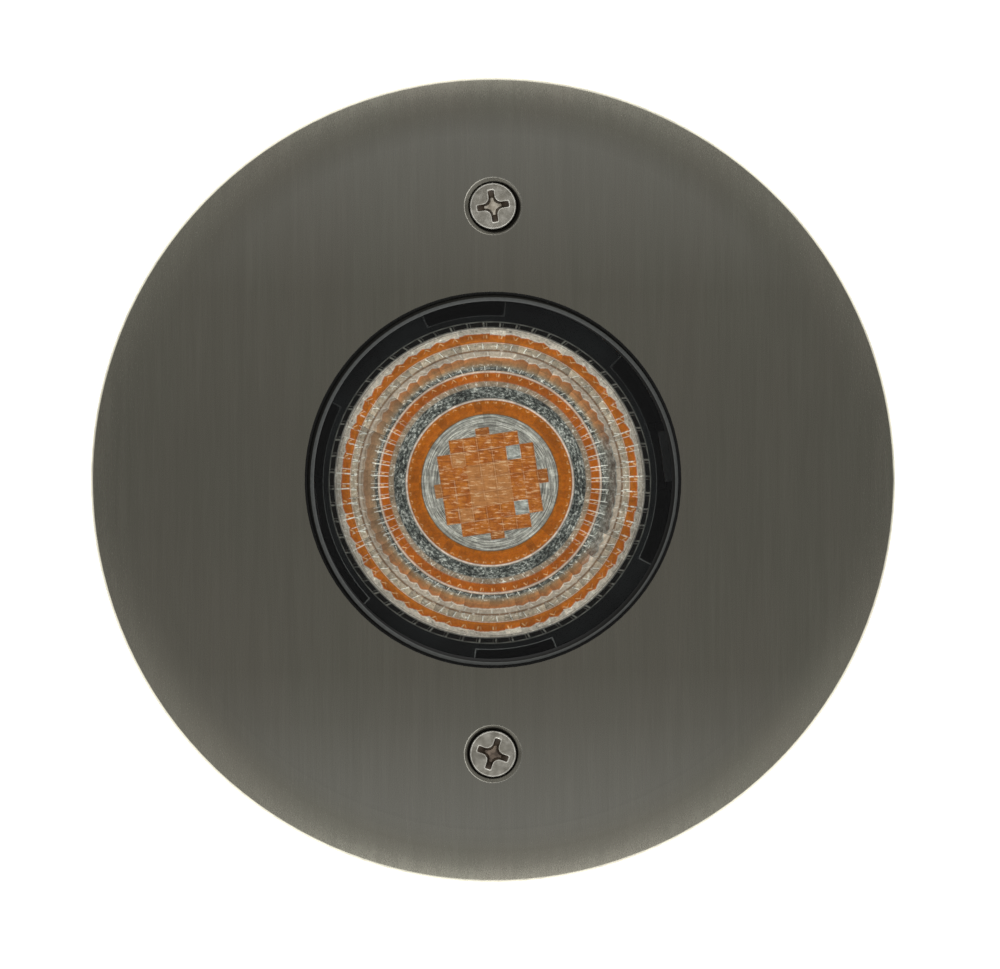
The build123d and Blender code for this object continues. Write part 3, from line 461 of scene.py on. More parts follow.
def addPiece(name, bm, body, materials, replaced=(), angle=30.0):
    mesh = bpy.data.meshes.new(name)
    bm.to_mesh(mesh)
    bm.free()
    mesh.polygons.foreach_set("use_smooth", [True] * len(mesh.polygons))
    mesh.set_sharp_from_angle(angle=math.radians(angle))
    for material in materials:
        mesh.materials.append(material)
    piece = bpy.data.objects.new(name, mesh)
    bpy.context.scene.collection.objects.link(piece)
    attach(piece, body)
    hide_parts(*replaced)
    return piece


def dress(material, *names):
    for name in names:
        slots = cad[name].material_slots
        if not slots:
            cad[name].data.materials.append(material)
        for place in slots:
            place.material = material


# The optic

opticSet = {
    "facets": 60,
    "grooveShare": 0.10,  # of a facet's width, each side
    "grooveDepth": 0.05 * mm,
    "cellPitch": 2.21 * mm,
    "cellRise": 0.16 * mm,
    "mosaicDrop": 0.19,  # mm from the optic's centre to the mosaic's
    "bumps": {(0, 4): 0.55, (4, 0): 0.70, (0, -4): 0.50, (-4, 0): 0.50},
    # rings from the middle outwards: outer radius, height of their outer edge, crown, all in mm
    "rings": [
        (10.80, -12.42, 0.00),
        (13.02, -12.32, 0.20),
        (13.40, -12.14, 0.06),
        (15.20, -11.95, -0.10),
        (16.02, -11.78, 0.05),
        (17.42, -11.56, 0.15),
        (17.78, -11.44, 0.05),
        (18.90, -11.28, -0.06),
        (20.82, -11.02, 0.12),
        (21.10, -10.96, 0.03),
        (22.15, -10.80, 0.08),
        (23.54, -10.60, 0.14),
        (24.52, -10.50, 0.06),
    ],
    "rim": (25.25, -10.40),
    "underside": [(25.25, -12.20), (23.90, -12.20), (20.5, -16.4), (16.0, -19.6), (10.5, -21.5), (8.0, -21.5),
                  (7.0, -16.5), (0.0, -16.5)],
}

# painted refraction: the colour painted on each ring for what shows through it: radius in mm, colour
throughOptic = [
    (8.9, (0.28, 0.29, 0.265)),
    (10.72, (0.34, 0.35, 0.32)),
    (10.86, (0.10, 0.06, 0.025)),
    (11.02, (0.36, 0.096, 0.003)),
    (11.9, (0.31, 0.074, 0.001)),
    (13.00, (0.35, 0.094, 0.003)),
    (13.14, (0.47, 0.36, 0.29)),
    (13.30, (0.49, 0.38, 0.31)),
    (13.48, (0.070, 0.078, 0.075)),
    (15.10, (0.100, 0.104, 0.095)),
    (15.32, (0.275, 0.207, 0.148)),
    (15.98, (0.306, 0.207, 0.130)),
    (16.18, (0.35, 0.081, 0.002)),
    (17.32, (0.37, 0.086, 0.003)),
    (17.50, (0.46, 0.300, 0.21)),
    (17.70, (0.43, 0.285, 0.20)),
    (17.84, (0.065, 0.058, 0.048)),
    (18.10, (0.12, 0.105, 0.083)),
    (18.50, (0.27, 0.22, 0.155)),
    (18.95, (0.30, 0.155, 0.066)),
    (19.85, (0.40, 0.142, 0.044)),
    (20.08, (0.45, 0.355, 0.27)),
    (20.76, (0.485, 0.40, 0.32)),
    (20.86, (0.18, 0.10, 0.050)),
    (21.04, (0.20, 0.11, 0.062)),
    (21.16, (0.445, 0.36, 0.27)),
    (21.98, (0.40, 0.32, 0.23)),
    (22.24, (0.43, 0.124, 0.008)),
    (23.40, (0.46, 0.105, 0.004)),
    (23.62, (0.50, 0.43, 0.35)),
    (24.45, (0.53, 0.46, 0.39)),
    (24.56, (0.14, 0.13, 0.115)),
]


def addTicks(paint, colour, turns, slant, radius, ticks):
    # Painted glints: fine bright strokes where neighbouring facets meet, or dark painted-shade strokes; each leans as
    # the slant says
    for centre, reach, phase, lean, halfWidth, strength, tint in ticks:
        offset = paint.math("MULTIPLY", paint.math("SUBTRACT", radius, centre), paint.math("MULTIPLY", slant, lean))
        across = paint.math("FRACT", paint.math("ADD", paint.math("ADD", turns, phase), offset))
        stroke = paint.line(across, 0.5, halfWidth)
        here = paint.window(radius, centre - reach, centre + reach, 0.06)
        colour = paint.mix(paint.product(stroke, here, strength), colour, tint)
    return colour


def makeOpticGlass():
    # Clear acrylic over the phosphor: the amber, silver or cream each ring bends the view to is painted in as colour,
    # with painted glints and shade
    paint = Finish("opticGlass")
    reach = 25.5
    local, x, y, radius, angle = paint.polar(moduleCentre)
    turns = paint.math("MULTIPLY_ADD", angle, opticSet["facets"] / (2 * math.pi), opticSet["facets"] / 2)
    across = paint.math("FRACT", turns)
    facet = paint.math("FLOOR", turns)
    saw = paint.math("ABSOLUTE", paint.math("SUBTRACT", across, 0.5))
    double = paint.math("MULTIPLY", angle, 2.0)
    slant = paint.math("SINE", double)
    aside = paint.math("COSINE", double)
    level = paint.span(paint.math("ABSOLUTE", slant), 0.10, 0.75, 0.0, 1.0)
    sideways = paint.span(aside, 0.15, 0.85, 0.0, 1.0)
    wobble = paint.math("SUBTRACT", paint.noise(1.0, 3.0, 0.6, local), 0.5)
    perFacet = paint.node("ShaderNodeTexWhiteNoise")
    perFacet.noise_dimensions = "2D"
    band = paint.math("FLOOR", paint.math("MULTIPLY", radius, 0.62))
    cell = paint.node("ShaderNodeCombineXYZ", X=facet, Y=band)
    paint.feed(perFacet.inputs["Vector"], cell.outputs["Vector"])
    chance = perFacet.outputs["Value"]

    # ring edges run in a zigzag from facet to facet, deepest half way between the axes
    outer = paint.math("ADD", paint.window(radius, 19.0, 20.5, 0.25), paint.window(radius, 22.8, 24.1, 0.25))
    zigzag = paint.product(paint.math("SUBTRACT", saw, 0.25), level, 0.85)
    step = paint.product(paint.math("SUBTRACT", chance, 0.5), 0.26)
    shift = paint.math("ADD", paint.math("ADD", zigzag, step), paint.product(wobble, 0.30))
    bent = paint.math("MULTIPLY_ADD", shift, outer, radius)
    bent = paint.math("MULTIPLY_ADD", wobble, 0.10, bent)
    stops = [(stopRadius / reach, colour) for stopRadius, colour in throughOptic]
    firstRamp = paint.ramp(paint.math("DIVIDE", bent, reach), stops[:16])
    secondRamp = paint.ramp(paint.math("DIVIDE", bent, reach), stops[16:])
    colour = paint.mix(paint.span(bent, 17.775, 17.80, 0.0, 1.0), firstRamp, secondRamp)

    # painted highlights: pale lines at ring edges, and one painted dark line
    for edge, halfWidth, strength, value in ((20.07, 0.10, 0.45, bent), (22.16, 0.08, 0.35, bent), (23.62, 0.08, 0.35, bent),
                                             (13.20, 0.11, 0.42, radius), (17.60, 0.11, 0.36, radius)):
        colour = paint.mix(paint.product(paint.line(value, edge, halfWidth), strength), colour, (0.95, 0.86, 0.76))
    colour = paint.mix(paint.product(paint.line(bent, 22.26, 0.06), 0.4), colour, (0.14, 0.06, 0.02))

    # turned silver ring round the middle: fine circular lines
    circles = paint.node("ShaderNodeCombineXYZ", X=paint.math("MULTIPLY", radius, 6.5),
                         Y=paint.math("MULTIPLY", slant, 1.5), Z=paint.math("MULTIPLY", aside, 1.5))
    turned = paint.noise(1.0, 4.0, 0.65, circles.outputs["Vector"])
    turnedTone = paint.ramp(turned, [(0.30, (0.055, 0.052, 0.046)), (0.44, (0.215, 0.200, 0.176)),
                                     (0.55, (0.40, 0.385, 0.34)), (0.68, (0.76, 0.72, 0.64))])
    colour = paint.mix(paint.window(radius, 5.0, 10.72, 0.05), colour, turnedTone)

    # painted reflection: mottled silver where the view goes past the phosphor
    around = paint.node("ShaderNodeCombineXYZ", X=paint.math("MULTIPLY", radius, 3.0),
                        Y=paint.math("MULTIPLY", paint.math("SINE", angle), 24.0),
                        Z=paint.math("MULTIPLY", paint.math("COSINE", angle), 24.0))
    mottle = paint.noise(1.0, 4.0, 0.75, around.outputs["Vector"])
    patches = paint.math("SUBTRACT", paint.noise(0.30, 2.0, 0.5, local), 0.5)
    mottle = paint.math("MULTIPLY_ADD", patches, 0.30, mottle)
    mottleTone = paint.ramp(mottle, [(0.38, (0.006, 0.007, 0.006)), (0.48, (0.060, 0.064, 0.058)),
                                     (0.56, (0.20, 0.205, 0.185)), (0.66, (0.60, 0.59, 0.54))])
    colour = paint.mix(paint.product(paint.window(bent, 13.46, 15.22, 0.08), 0.94), colour, mottleTone)
    mottleBand = paint.window(bent, 17.86, 18.35, 0.08)
    colour = paint.mix(paint.product(mottleBand, 0.75), colour, mottleTone)

    # painted reflection: from the right the silver shows through the wide brown ring too, and it is pale brown
    # elsewhere
    right = paint.span(paint.math("COSINE", paint.math("SUBTRACT", angle, math.radians(-8))), 0.80, 0.92, 0.0, 1.0)
    through = paint.product(paint.window(bent, 18.30, 20.15, 0.10), right, 0.85)
    silvery = paint.ramp(mottle, [(0.36, (0.05, 0.052, 0.048)), (0.50, (0.14, 0.15, 0.135)), (0.66, (0.33, 0.33, 0.30))])
    colour = paint.mix(through, colour, silvery)
    left = paint.span(paint.math("COSINE", paint.math("SUBTRACT", angle, math.radians(178))), 0.70, 0.90, 0.0, 0.7)
    colour = paint.mix(paint.product(paint.window(bent, 18.30, 20.40, 0.12), left), colour, (0.25, 0.165, 0.10))

    # each facet fades from its bright side to its dark one, more in the clear rings than in the amber
    fade = paint.math("SUBTRACT", across, 0.5)
    clearRings = paint.math("ADD", paint.window(radius, 20.9, 22.1, 0.1), paint.window(radius, 17.8, 20.3, 0.1))
    shade = paint.math("MULTIPLY_ADD", paint.product(fade, clearRings, level), 0.55, 1.0)
    pale, amber = (0.92, 0.89, 0.80), (0.80, 0.52, 0.25)
    # painted glints, and dark painted-shade strokes beside some of them
    colour = addTicks(paint, colour, turns, slant, radius, [
        (21.62, 0.42, 0.05, 0.34, 0.050, 0.55, (0.10, 0.07, 0.05)),
        (21.62, 0.42, 0.00, 0.34, 0.050, 0.85, pale),
        (18.18, 0.34, 0.13, 0.34, 0.055, 0.60, (0.05, 0.045, 0.04)),
        (18.18, 0.34, 0.08, 0.34, 0.050, 0.75, pale),
        (15.68, 0.30, 0.20, 0.40, 0.060, 0.40, pale),
        (23.12, 0.26, 0.28, 0.60, 0.070, 0.75, amber),
        (23.12, 0.26, 0.10, -0.60, 0.060, 0.35, amber),
        (17.02, 0.24, 0.30, 0.60, 0.080, 0.65, amber),
        (17.02, 0.24, 0.10, -0.60, 0.060, 0.35, amber),
        (12.72, 0.14, 0.25, 0.90, 0.120, 0.45, amber),
        (12.72, 0.14, 0.00, -0.90, 0.120, 0.25, amber),
        (20.45, 0.30, 0.35, 0.55, 0.060, 0.45, pale),
    ])
    # painted highlights: long strokes across the outer rings, only to the left and right
    for phase, halfWidth, strength in ((0.10, 0.060, 0.90), (0.42, 0.040, 0.65)):
        stroke = paint.line(paint.math("FRACT", paint.math("ADD", turns, phase)), 0.5, halfWidth)
        here = paint.window(radius, 20.9, 24.4, 0.10)
        broken = paint.span(paint.noise(1.3, 2.0, 0.5, local), 0.42, 0.52, 0.0, 1.0)
        colour = paint.mix(paint.product(stroke, here, sideways, broken, strength), colour, pale)
        inner = paint.window(radius, 16.1, 18.9, 0.10)
        colour = paint.mix(paint.product(stroke, inner, sideways, strength * 0.7), colour, pale)

    # painted glints and dark specks, strongest in the clear rings
    flecks = paint.node("ShaderNodeCombineXYZ", X=paint.math("MULTIPLY", radius, 2.8),
                        Y=paint.math("MULTIPLY", paint.math("SINE", angle), 30.0),
                        Z=paint.math("MULTIPLY", paint.math("COSINE", angle), 30.0))
    speck = paint.noise(1.0, 3.0, 0.65, flecks.outputs["Vector"])
    clearAll = paint.math("ADD", paint.window(radius, 20.9, 22.1, 0.1), paint.window(radius, 17.8, 18.8, 0.1))
    clearAll = paint.math("ADD", clearAll, paint.window(radius, 23.6, 24.5, 0.05))
    clearAll = paint.math("ADD", clearAll, paint.window(radius, 15.25, 16.05, 0.05))
    colour = paint.mix(paint.product(paint.span(speck, 0.58, 0.68, 0.0, 0.70), clearAll), colour, pale)
    colour = paint.mix(paint.product(paint.span(speck, 0.42, 0.33, 0.0, 0.60), clearAll), colour, (0.055, 0.045, 0.035))
    rimLine = paint.line(radius, 24.30, 0.09)
    colour = paint.mix(paint.product(rimLine, 0.55), colour, (0.12, 0.10, 0.08))
    # painted light: brightness scaled per facet at random, in soft patches, by the painted facet shading, and lighter
    # towards the top and bottom than at the sides
    lively = paint.span(chance, 0.0, 1.0, 0.76, 1.20)
    dapple = paint.span(paint.noise(2.2, 3.0, 0.65, local), 0.3, 0.7, 0.74, 1.26)
    lit = paint.node("ShaderNodeVectorMath", Vector=colour)
    lit.operation = "SCALE"
    upright = paint.span(paint.math("ABSOLUTE", paint.math("SINE", angle)), 0.15, 0.85, 0.80, 1.20)
    upright = paint.mix(paint.window(radius, 23.5, 24.5, 0.05), (1.0, 1.0, 1.0), upright)
    paint.feed(lit.inputs["Scale"], paint.product(lively, dapple, shade, upright))
    paint.set("Base Color", lit.outputs["Vector"])
    paint.set("Roughness", 0.20)
    paint.set("Specular IOR Level", 0.35)
    paint.set("Coat Weight", 0.4)
    paint.set("Coat Roughness", 0.03)
    paint.bump(paint.noise(2.6, 3.0, 0.6, local), strength=0.25, distance=0.0001)
    return paint.material


def makeCellFinish(name, low, high, sparkle, shadow):
    # Small lenses over the phosphor: painted highlight lines round the middle ones, a painted dark outline, painted
    # shade along cell edges, and short painted sparkles
    paint = Finish(name)
    centre = moduleCentre - Vector((0, opticSet["mosaicDrop"] * mm, 0))
    local, x, y, radius, angle = paint.polar(centre, moduleAngle)
    pitch = opticSet["cellPitch"] / mm
    drift = paint.noise(0.9, 3.0, 0.6, local)
    strokes = paint.noise(1.0, 3.0, 0.7, paint.mapped(scale=(1.6 * mm, 0.34 * mm, 1 * mm)))
    tone = paint.ramp(drift, [(0.35, low), (0.65, high)])
    farX = paint.math("ABSOLUTE", x)
    farY = paint.math("ABSOLUTE", y)
    far = paint.math("MAXIMUM", farX, farY)
    broken = paint.span(paint.noise(0.55, 2.0, 0.5, local), 0.40, 0.60, 0.05, 1.0)
    # painted highlight: broken pale lines round the middle cells
    seamHighlight = paint.line(far, 2.5 * pitch, 0.11)
    tone = paint.mix(paint.product(seamHighlight, broken, 0.45), tone, (0.52, 0.34, 0.24))
    # painted shade: a dark outline round the mosaic
    rim = paint.span(far, 3.36 * pitch, 3.5 * pitch, 0.0, 0.45)
    tone = paint.mix(rim, tone, (0.16, 0.055, 0.012))
    # painted shade and sparkle along each cell's edges
    for place in (x, y):
        cellEdge = paint.math("ABSOLUTE", paint.math("SUBTRACT", paint.math("FRACT", paint.math(
            "ADD", paint.math("DIVIDE", place, pitch), 10.0)), 0.5))
        tone = paint.mix(paint.product(paint.line(cellEdge, 0.07, 0.05), broken, 0.45), tone, shadow)
        tone = paint.mix(paint.product(paint.line(cellEdge, 0.0, 0.04), broken, 0.30), tone, sparkle)
    # painted shade and sparkle in short strokes
    tone = paint.mix(paint.span(strokes, 0.46, 0.36, 0.0, 0.6), tone, shadow)
    paint.set("Base Color", paint.mix(paint.span(strokes, 0.55, 0.66, 0.0, 0.80), tone, sparkle))
    paint.set("Roughness", 0.2)
    paint.set("Coat Weight", 1.0)
    paint.set("Coat Roughness", 0.03)
    paint.bump(strokes, strength=0.3, distance=0.0001)
    return paint.material


def addProfile(bm, points):
    # A chain of vertices and edges in the XZ plane, at y = 0
    chain = [bm.verts.new((radius * mm, 0, height * mm)) for radius, height in points]
    for first, second in zip(chain, chain[1:]):
        bm.edges.new((first, second))
    return chain


def opticProfile():
    points = [(0.0, opticSet["rings"][0][1])]
    for outer, height, crown in opticSet["rings"]:
        lastRadius, lastHeight = points[-1]
        if crown:
            for share in (0.2, 0.5, 0.8):
                rise = crown * (1 - (2 * share - 1) ** 2)
                points.append((lastRadius + (outer - lastRadius) * share,
                               lastHeight + (height - lastHeight) * share + rise))
        points.append((outer, height))
    points.append((points[-1][0] + 0.05, opticSet["rim"][1] - 0.12))
    points.append((opticSet["rim"][0], opticSet["rim"][1] - 0.12))
    points.append((opticSet["rim"][0], opticSet["underside"][0][1]))
    return points + opticSet["underside"][1:]


def turnToModule(bm):
    # From the module's own axes to the can's
    turn = Matrix.Translation((moduleCentre.x, moduleCentre.y, 0)) @ Matrix.Rotation(moduleAngle, 4, "Z")
    bmesh.ops.transform(bm, matrix=turn, verts=bm.verts)


def buildOptic(glass, amber, pale, silver):
    bm = bmesh.new()
    facetAngle = 2 * math.pi / opticSet["facets"]
    groove = facetAngle * opticSet["grooveShare"]
    addProfile(bm, opticProfile())
    edges = bm.edges[:]
    # one facet: groove wall, flat, groove wall
    steps = [groove, facetAngle / 2 - groove, facetAngle / 2 - groove, groove]
    columns = [bm.verts[:]]
    for step in steps:
        made = bmesh.ops.extrude_edge_only(bm, edges=edges)["geom"]
        edges = [item for item in made if isinstance(item, bmesh.types.BMEdge)]
        verts = [item for item in made if isinstance(item, bmesh.types.BMVert)]
        bmesh.ops.rotate(bm, cent=(0, 0, 0), matrix=Matrix.Rotation(step, 3, "Z"), verts=verts)
        columns.append(verts)
    for column in (columns[0], columns[-1]):
        for vert in column:
            radius = math.hypot(vert.co.x, vert.co.y)
            if 13.45 * mm < radius < 24.4 * mm and vert.co.z > -12.15 * mm:
                vert.co.z -= opticSet["grooveDepth"]
    bmesh.ops.spin(bm, geom=bm.faces[:] + bm.edges[:] + bm.verts[:], cent=(0, 0, 0), axis=(0, 0, 1),
                   dvec=(0, 0, 0), angle=2 * math.pi - facetAngle, steps=opticSet["facets"] - 1,
                   use_duplicate=True)
    bmesh.ops.remove_doubles(bm, verts=bm.verts, dist=0.001 * mm)
    bmesh.ops.dissolve_degenerate(bm, edges=bm.edges, dist=0.0005 * mm)
    bmesh.ops.recalc_face_normals(bm, faces=bm.faces)
    for column in range(-4, 5):
        for row in range(-4, 5):
            kind = cellKind(column, row)
            if kind is not None:
                addCell(bm, column, row, kind)
    turnToModule(bm)
    return addPiece("optic_lens", bm, "module", [glass, amber, pale, silver], ["optic"], 12)


def cellKind(column, row):
    # The middle of the optic: material index of each square cell, or None outside the stepped square
    far, near = max(abs(column), abs(row)), min(abs(column), abs(row))
    if far <= 1:
        return 2
    if far == 2 and near == 2:
        return {(2, 2): 3, (2, -2): 3, (-2, -2): 2, (-2, 2): 2}[(column, row)]
    if far == 2 or (far == 3 and near <= 2):
        return 1
    if far == 4 and near == 0:
        return 2 if column == -4 else 1
    return None


def addCell(bm, column, row, kind):
    pitch = opticSet["cellPitch"]
    made = bmesh.ops.create_grid(bm, x_segments=1, y_segments=1, size=pitch * 0.5)
    base = opticSet["rings"][0][1] * mm
    verts = made["verts"]
    x, y = column * pitch, row * pitch
    share = opticSet["bumps"].get((column, row), 1.0)
    if column in (-4, 4):
        x -= math.copysign(pitch * (1 - share) / 2, column)
        bmesh.ops.scale(bm, vec=(share, 1, 1), verts=verts)
    if row in (-4, 4):
        y -= math.copysign(pitch * (1 - share) / 2, row)
        bmesh.ops.scale(bm, vec=(1, share, 1), verts=verts)
    y -= opticSet["mosaicDrop"] * mm
    bmesh.ops.translate(bm, vec=(x, y, base + 0.02 * mm), verts=verts)
    faces = list({face for vert in verts for face in vert.link_faces})
    result = bmesh.ops.extrude_discrete_faces(bm, faces=faces)["faces"]
    bmesh.ops.translate(bm, vec=(0, 0, opticSet["cellRise"]), verts=result[0].verts[:])
    cellFaces = {face for vert in result[0].verts for face in vert.link_faces}
    # each cell is a little pillow, and leans its own way as the moulding's small lenses do
    crown = bmesh.ops.inset_individual(bm, faces=result, thickness=pitch * 0.16, depth=opticSet["cellRise"] * 0.35)
    cellFaces |= set(crown["faces"]) | set(result)
    for face in cellFaces:
        face.material_index = kind
    lean = Matrix.Rotation(0.04 * math.sin(column * 2.7 + row * 1.3), 3, "X")
    lean = lean @ Matrix.Rotation(0.04 * math.cos(column * 1.9 - row * 2.1), 3, "Y")
    centre = (x, y, base + opticSet["cellRise"])
    bmesh.ops.rotate(bm, cent=centre, matrix=lean, verts=result[0].verts[:])


# The twist ring over the optic: the CAD shape with its edges eased, and a painted highlight on the eased edges

ringSet = {
    "edge": 0.15 * mm,
    "lipInner": 24.70,
    "lipOuter": 25.44,
    "lineRadius": 25.52,
    "notchRadius": 26.50,
}


def makeRingGloss():
    # Gloss black; the optic's facets are painted on its lip as fine pale strokes of reflection, with painted highlight
    # lines round it
    paint = Finish("ringGloss")
    local, x, y, radius, angle = paint.polar(moduleCentre)
    turns = paint.math("MULTIPLY_ADD", angle, opticSet["facets"] / (2 * math.pi), opticSet["facets"] / 2)
    slant = paint.math("SINE", paint.math("MULTIPLY", angle, 2.0))
    slow = paint.noise(90, 2.0)
    colour = paint.ramp(slow, [(0.35, (0.0016, 0.0017, 0.0018)), (0.65, (0.0052, 0.0060, 0.0062))])
    lip = paint.window(radius, ringSet["lipInner"] - 0.1, ringSet["lipOuter"], 0.03)
    colour = paint.mix(lip, colour, (0.0028, 0.0028, 0.0025))
    # painted reflection of the optic's facets on the lip
    spark = (0.34, 0.33, 0.29)
    lean = paint.product(paint.math("SUBTRACT", radius, 25.05), slant, 0.20)
    for phase, halfWidth, strength in ((0.12, 0.070, 0.50), (0.30, 0.045, 0.20)):
        across = paint.math("FRACT", paint.math("ADD", paint.math("ADD", turns, phase), lean))
        stroke = paint.line(across, 0.5, halfWidth)
        broken = paint.span(paint.noise(0.9, 2.0, 0.5, local), 0.38, 0.55, 0.25, 1.0)
        colour = paint.mix(paint.product(stroke, lip, broken, strength), colour, spark)
    # painted highlight: a dotted pale line along the lip's outer edge
    cells = paint.math("ABSOLUTE", paint.math("SUBTRACT", paint.math("FRACT", turns), 0.5))
    dotted = paint.span(cells, 0.10, 0.42, 0.35, 1.0)
    outline = paint.line(radius, ringSet["lipOuter"], 0.10)
    colour = paint.mix(paint.product(outline, dotted, 0.30), colour, spark)
    # painted highlights along the notches' edges, strongest towards the bottom
    folded = paint.math("COSINE", paint.math("MULTIPLY", paint.math("SUBTRACT", angle, moduleAngle), 2.0))
    inWide = paint.span(folded, 0.330, 0.338, 0.0, 1.0)
    inNarrow = paint.span(folded, -0.893, -0.897, 0.0, 1.0)
    arcs = paint.product(paint.line(radius, ringSet["notchRadius"] - 0.04, 0.11), paint.math("ADD", inWide, inNarrow))
    sides = paint.math("ADD", paint.line(folded, 0.330, 0.011), paint.line(folded, -0.893, 0.005))
    sides = paint.product(sides, paint.span(radius, 26.3, 26.6, 0.0, 1.0))
    facing = paint.span(y, -26.0, 8.0, 1.0, 0.22)
    notchHighlight = paint.product(paint.math("MAXIMUM", arcs, sides), facing, 0.42)
    colour = paint.mix(notchHighlight, colour, (0.30, 0.30, 0.29))
    # painted highlight: a thin pale line just outside the lip
    thin = paint.line(radius, ringSet["lineRadius"], 0.09)
    colour = paint.mix(paint.product(thin, 0.13), colour, spark)
    paint.set("Base Color", colour)
    paint.set("Roughness", 0.16)
    paint.set("Specular IOR Level", 0.15)
    paint.set("Coat Weight", 0.12)
    paint.set("Coat Roughness", 0.04)
    paint.bump(paint.noise(60, 2.0), strength=0.05, distance=0.00002)
    return paint.material


def makeEdgeHighlight():
    paint = Finish("edgeHighlight")
    local, x, y, radius, angle = paint.polar(moduleCentre)
    # painted highlight: the eased edges painted grey with random variation, fading towards the outermost edge
    wear = paint.noise(0.5, 3.0, 0.6, local)
    outermost = paint.span(radius, 27.2, 27.8, 1.0, 0.15)
    tone = paint.ramp(wear, [(0.30, (0.045, 0.045, 0.044)), (0.70, (0.16, 0.161, 0.156))])
    lit = paint.node("ShaderNodeVectorMath", Vector=tone)
    lit.operation = "SCALE"
    paint.feed(lit.inputs["Scale"], outermost)
    paint.set("Base Color", lit.outputs["Vector"])
    paint.set("Roughness", 0.2)
    paint.set("Coat Weight", 0.5)
    paint.bump(paint.noise(1200, 2.0), strength=0.05, distance=0.000004)
    return paint.material


def refineNode(node, name, body, edge, materials, segments=1, above=None):
    # A copy of a CAD piece with its sharp edges eased
    bm = bmesh.new()
    bm.from_mesh(cad[node].data)
    bmesh.ops.remove_doubles(bm, verts=bm.verts, dist=0.0004 * mm)
    bmesh.ops.dissolve_limit(bm, angle_limit=math.radians(0.3), verts=bm.verts, edges=bm.edges)
    sharp = [item for item in bm.edges if item.is_manifold and item.calc_face_angle(0.0) > math.radians(40)]
    if above is not None:
        sharp = [item for item in sharp if min(vert.co.z for vert in item.verts) > above]
    for face in bm.faces:
        face.material_index = 0
    eased = bmesh.ops.bevel(bm, geom=sharp, offset=edge, offset_type="OFFSET", affect="EDGES", segments=segments,
                            profile=0.5, material=-1, clamp_overlap=True)
    for face in eased["faces"]:
        face.material_index = 1
    return addPiece(name, bm, body, materials, [node], 18)


# Faceplate screws: cross recess with hollow sides, domed edge and a real thread

screwSet = {
    "offset": 43.2,
    "headTop": 4.935,
    "headRadius": 3.70,
    "shank": 2.0,
    "armReach": 2.60,
    "armHalf": 0.50,
    "hollow": 1.55,  # centre of the hollow between two arms, along both
    "floorReach": 1.34,
    "floorHalf": 0.20,
    "floorHollow": 1.20,
    "depth": 1.45,
    "turns": {"top_screw": 9.0, "bottom_screw": 70.5},
    "pitch": 0.7,
    "threadDepth": 0.32,
}


def crossOutline(reach, half, hollow, corner=0.12):
    # Points of a cross with hollow sides, one quarter after the other
    points = []
    ring = hollow - half
    quarter = [(reach - corner, -half), (reach, -half + corner), (reach, 0), (reach, half - corner),
               (reach - corner, half), ((reach - corner + hollow) / 2, half)]
    for step in range(9):
        turn = math.radians(270 - 11.25 * step)
        quarter.append((hollow + ring * math.cos(turn), hollow + ring * math.sin(turn)))
    quarter.append((half, (reach - corner + hollow) / 2))
    for number in range(4):
        turn = math.pi / 2 * number
        for x, y in quarter:
            points.append((x * math.cos(turn) - y * math.sin(turn), x * math.sin(turn) + y * math.cos(turn)))
    return points


def addLoop(bm, points, height):
    verts = [bm.verts.new((x * mm, y * mm, height * mm)) for x, y in points]
    for first, second in zip(verts, verts[1:] + verts[:1]):
        bm.edges.new((first, second))
    return verts


def stitch(bm, lower, upper):
    # Quads between two loops of the same count
    for number, first in enumerate(lower):
        following = (number + 1) % len(lower)
        bm.faces.new((first, lower[following], upper[following], upper[number]))


def circleLike(points, radius):
    # A circle whose points lie straight outside the given ones
    return [(radius * x / math.hypot(x, y), radius * y / math.hypot(x, y)) for x, y in points]


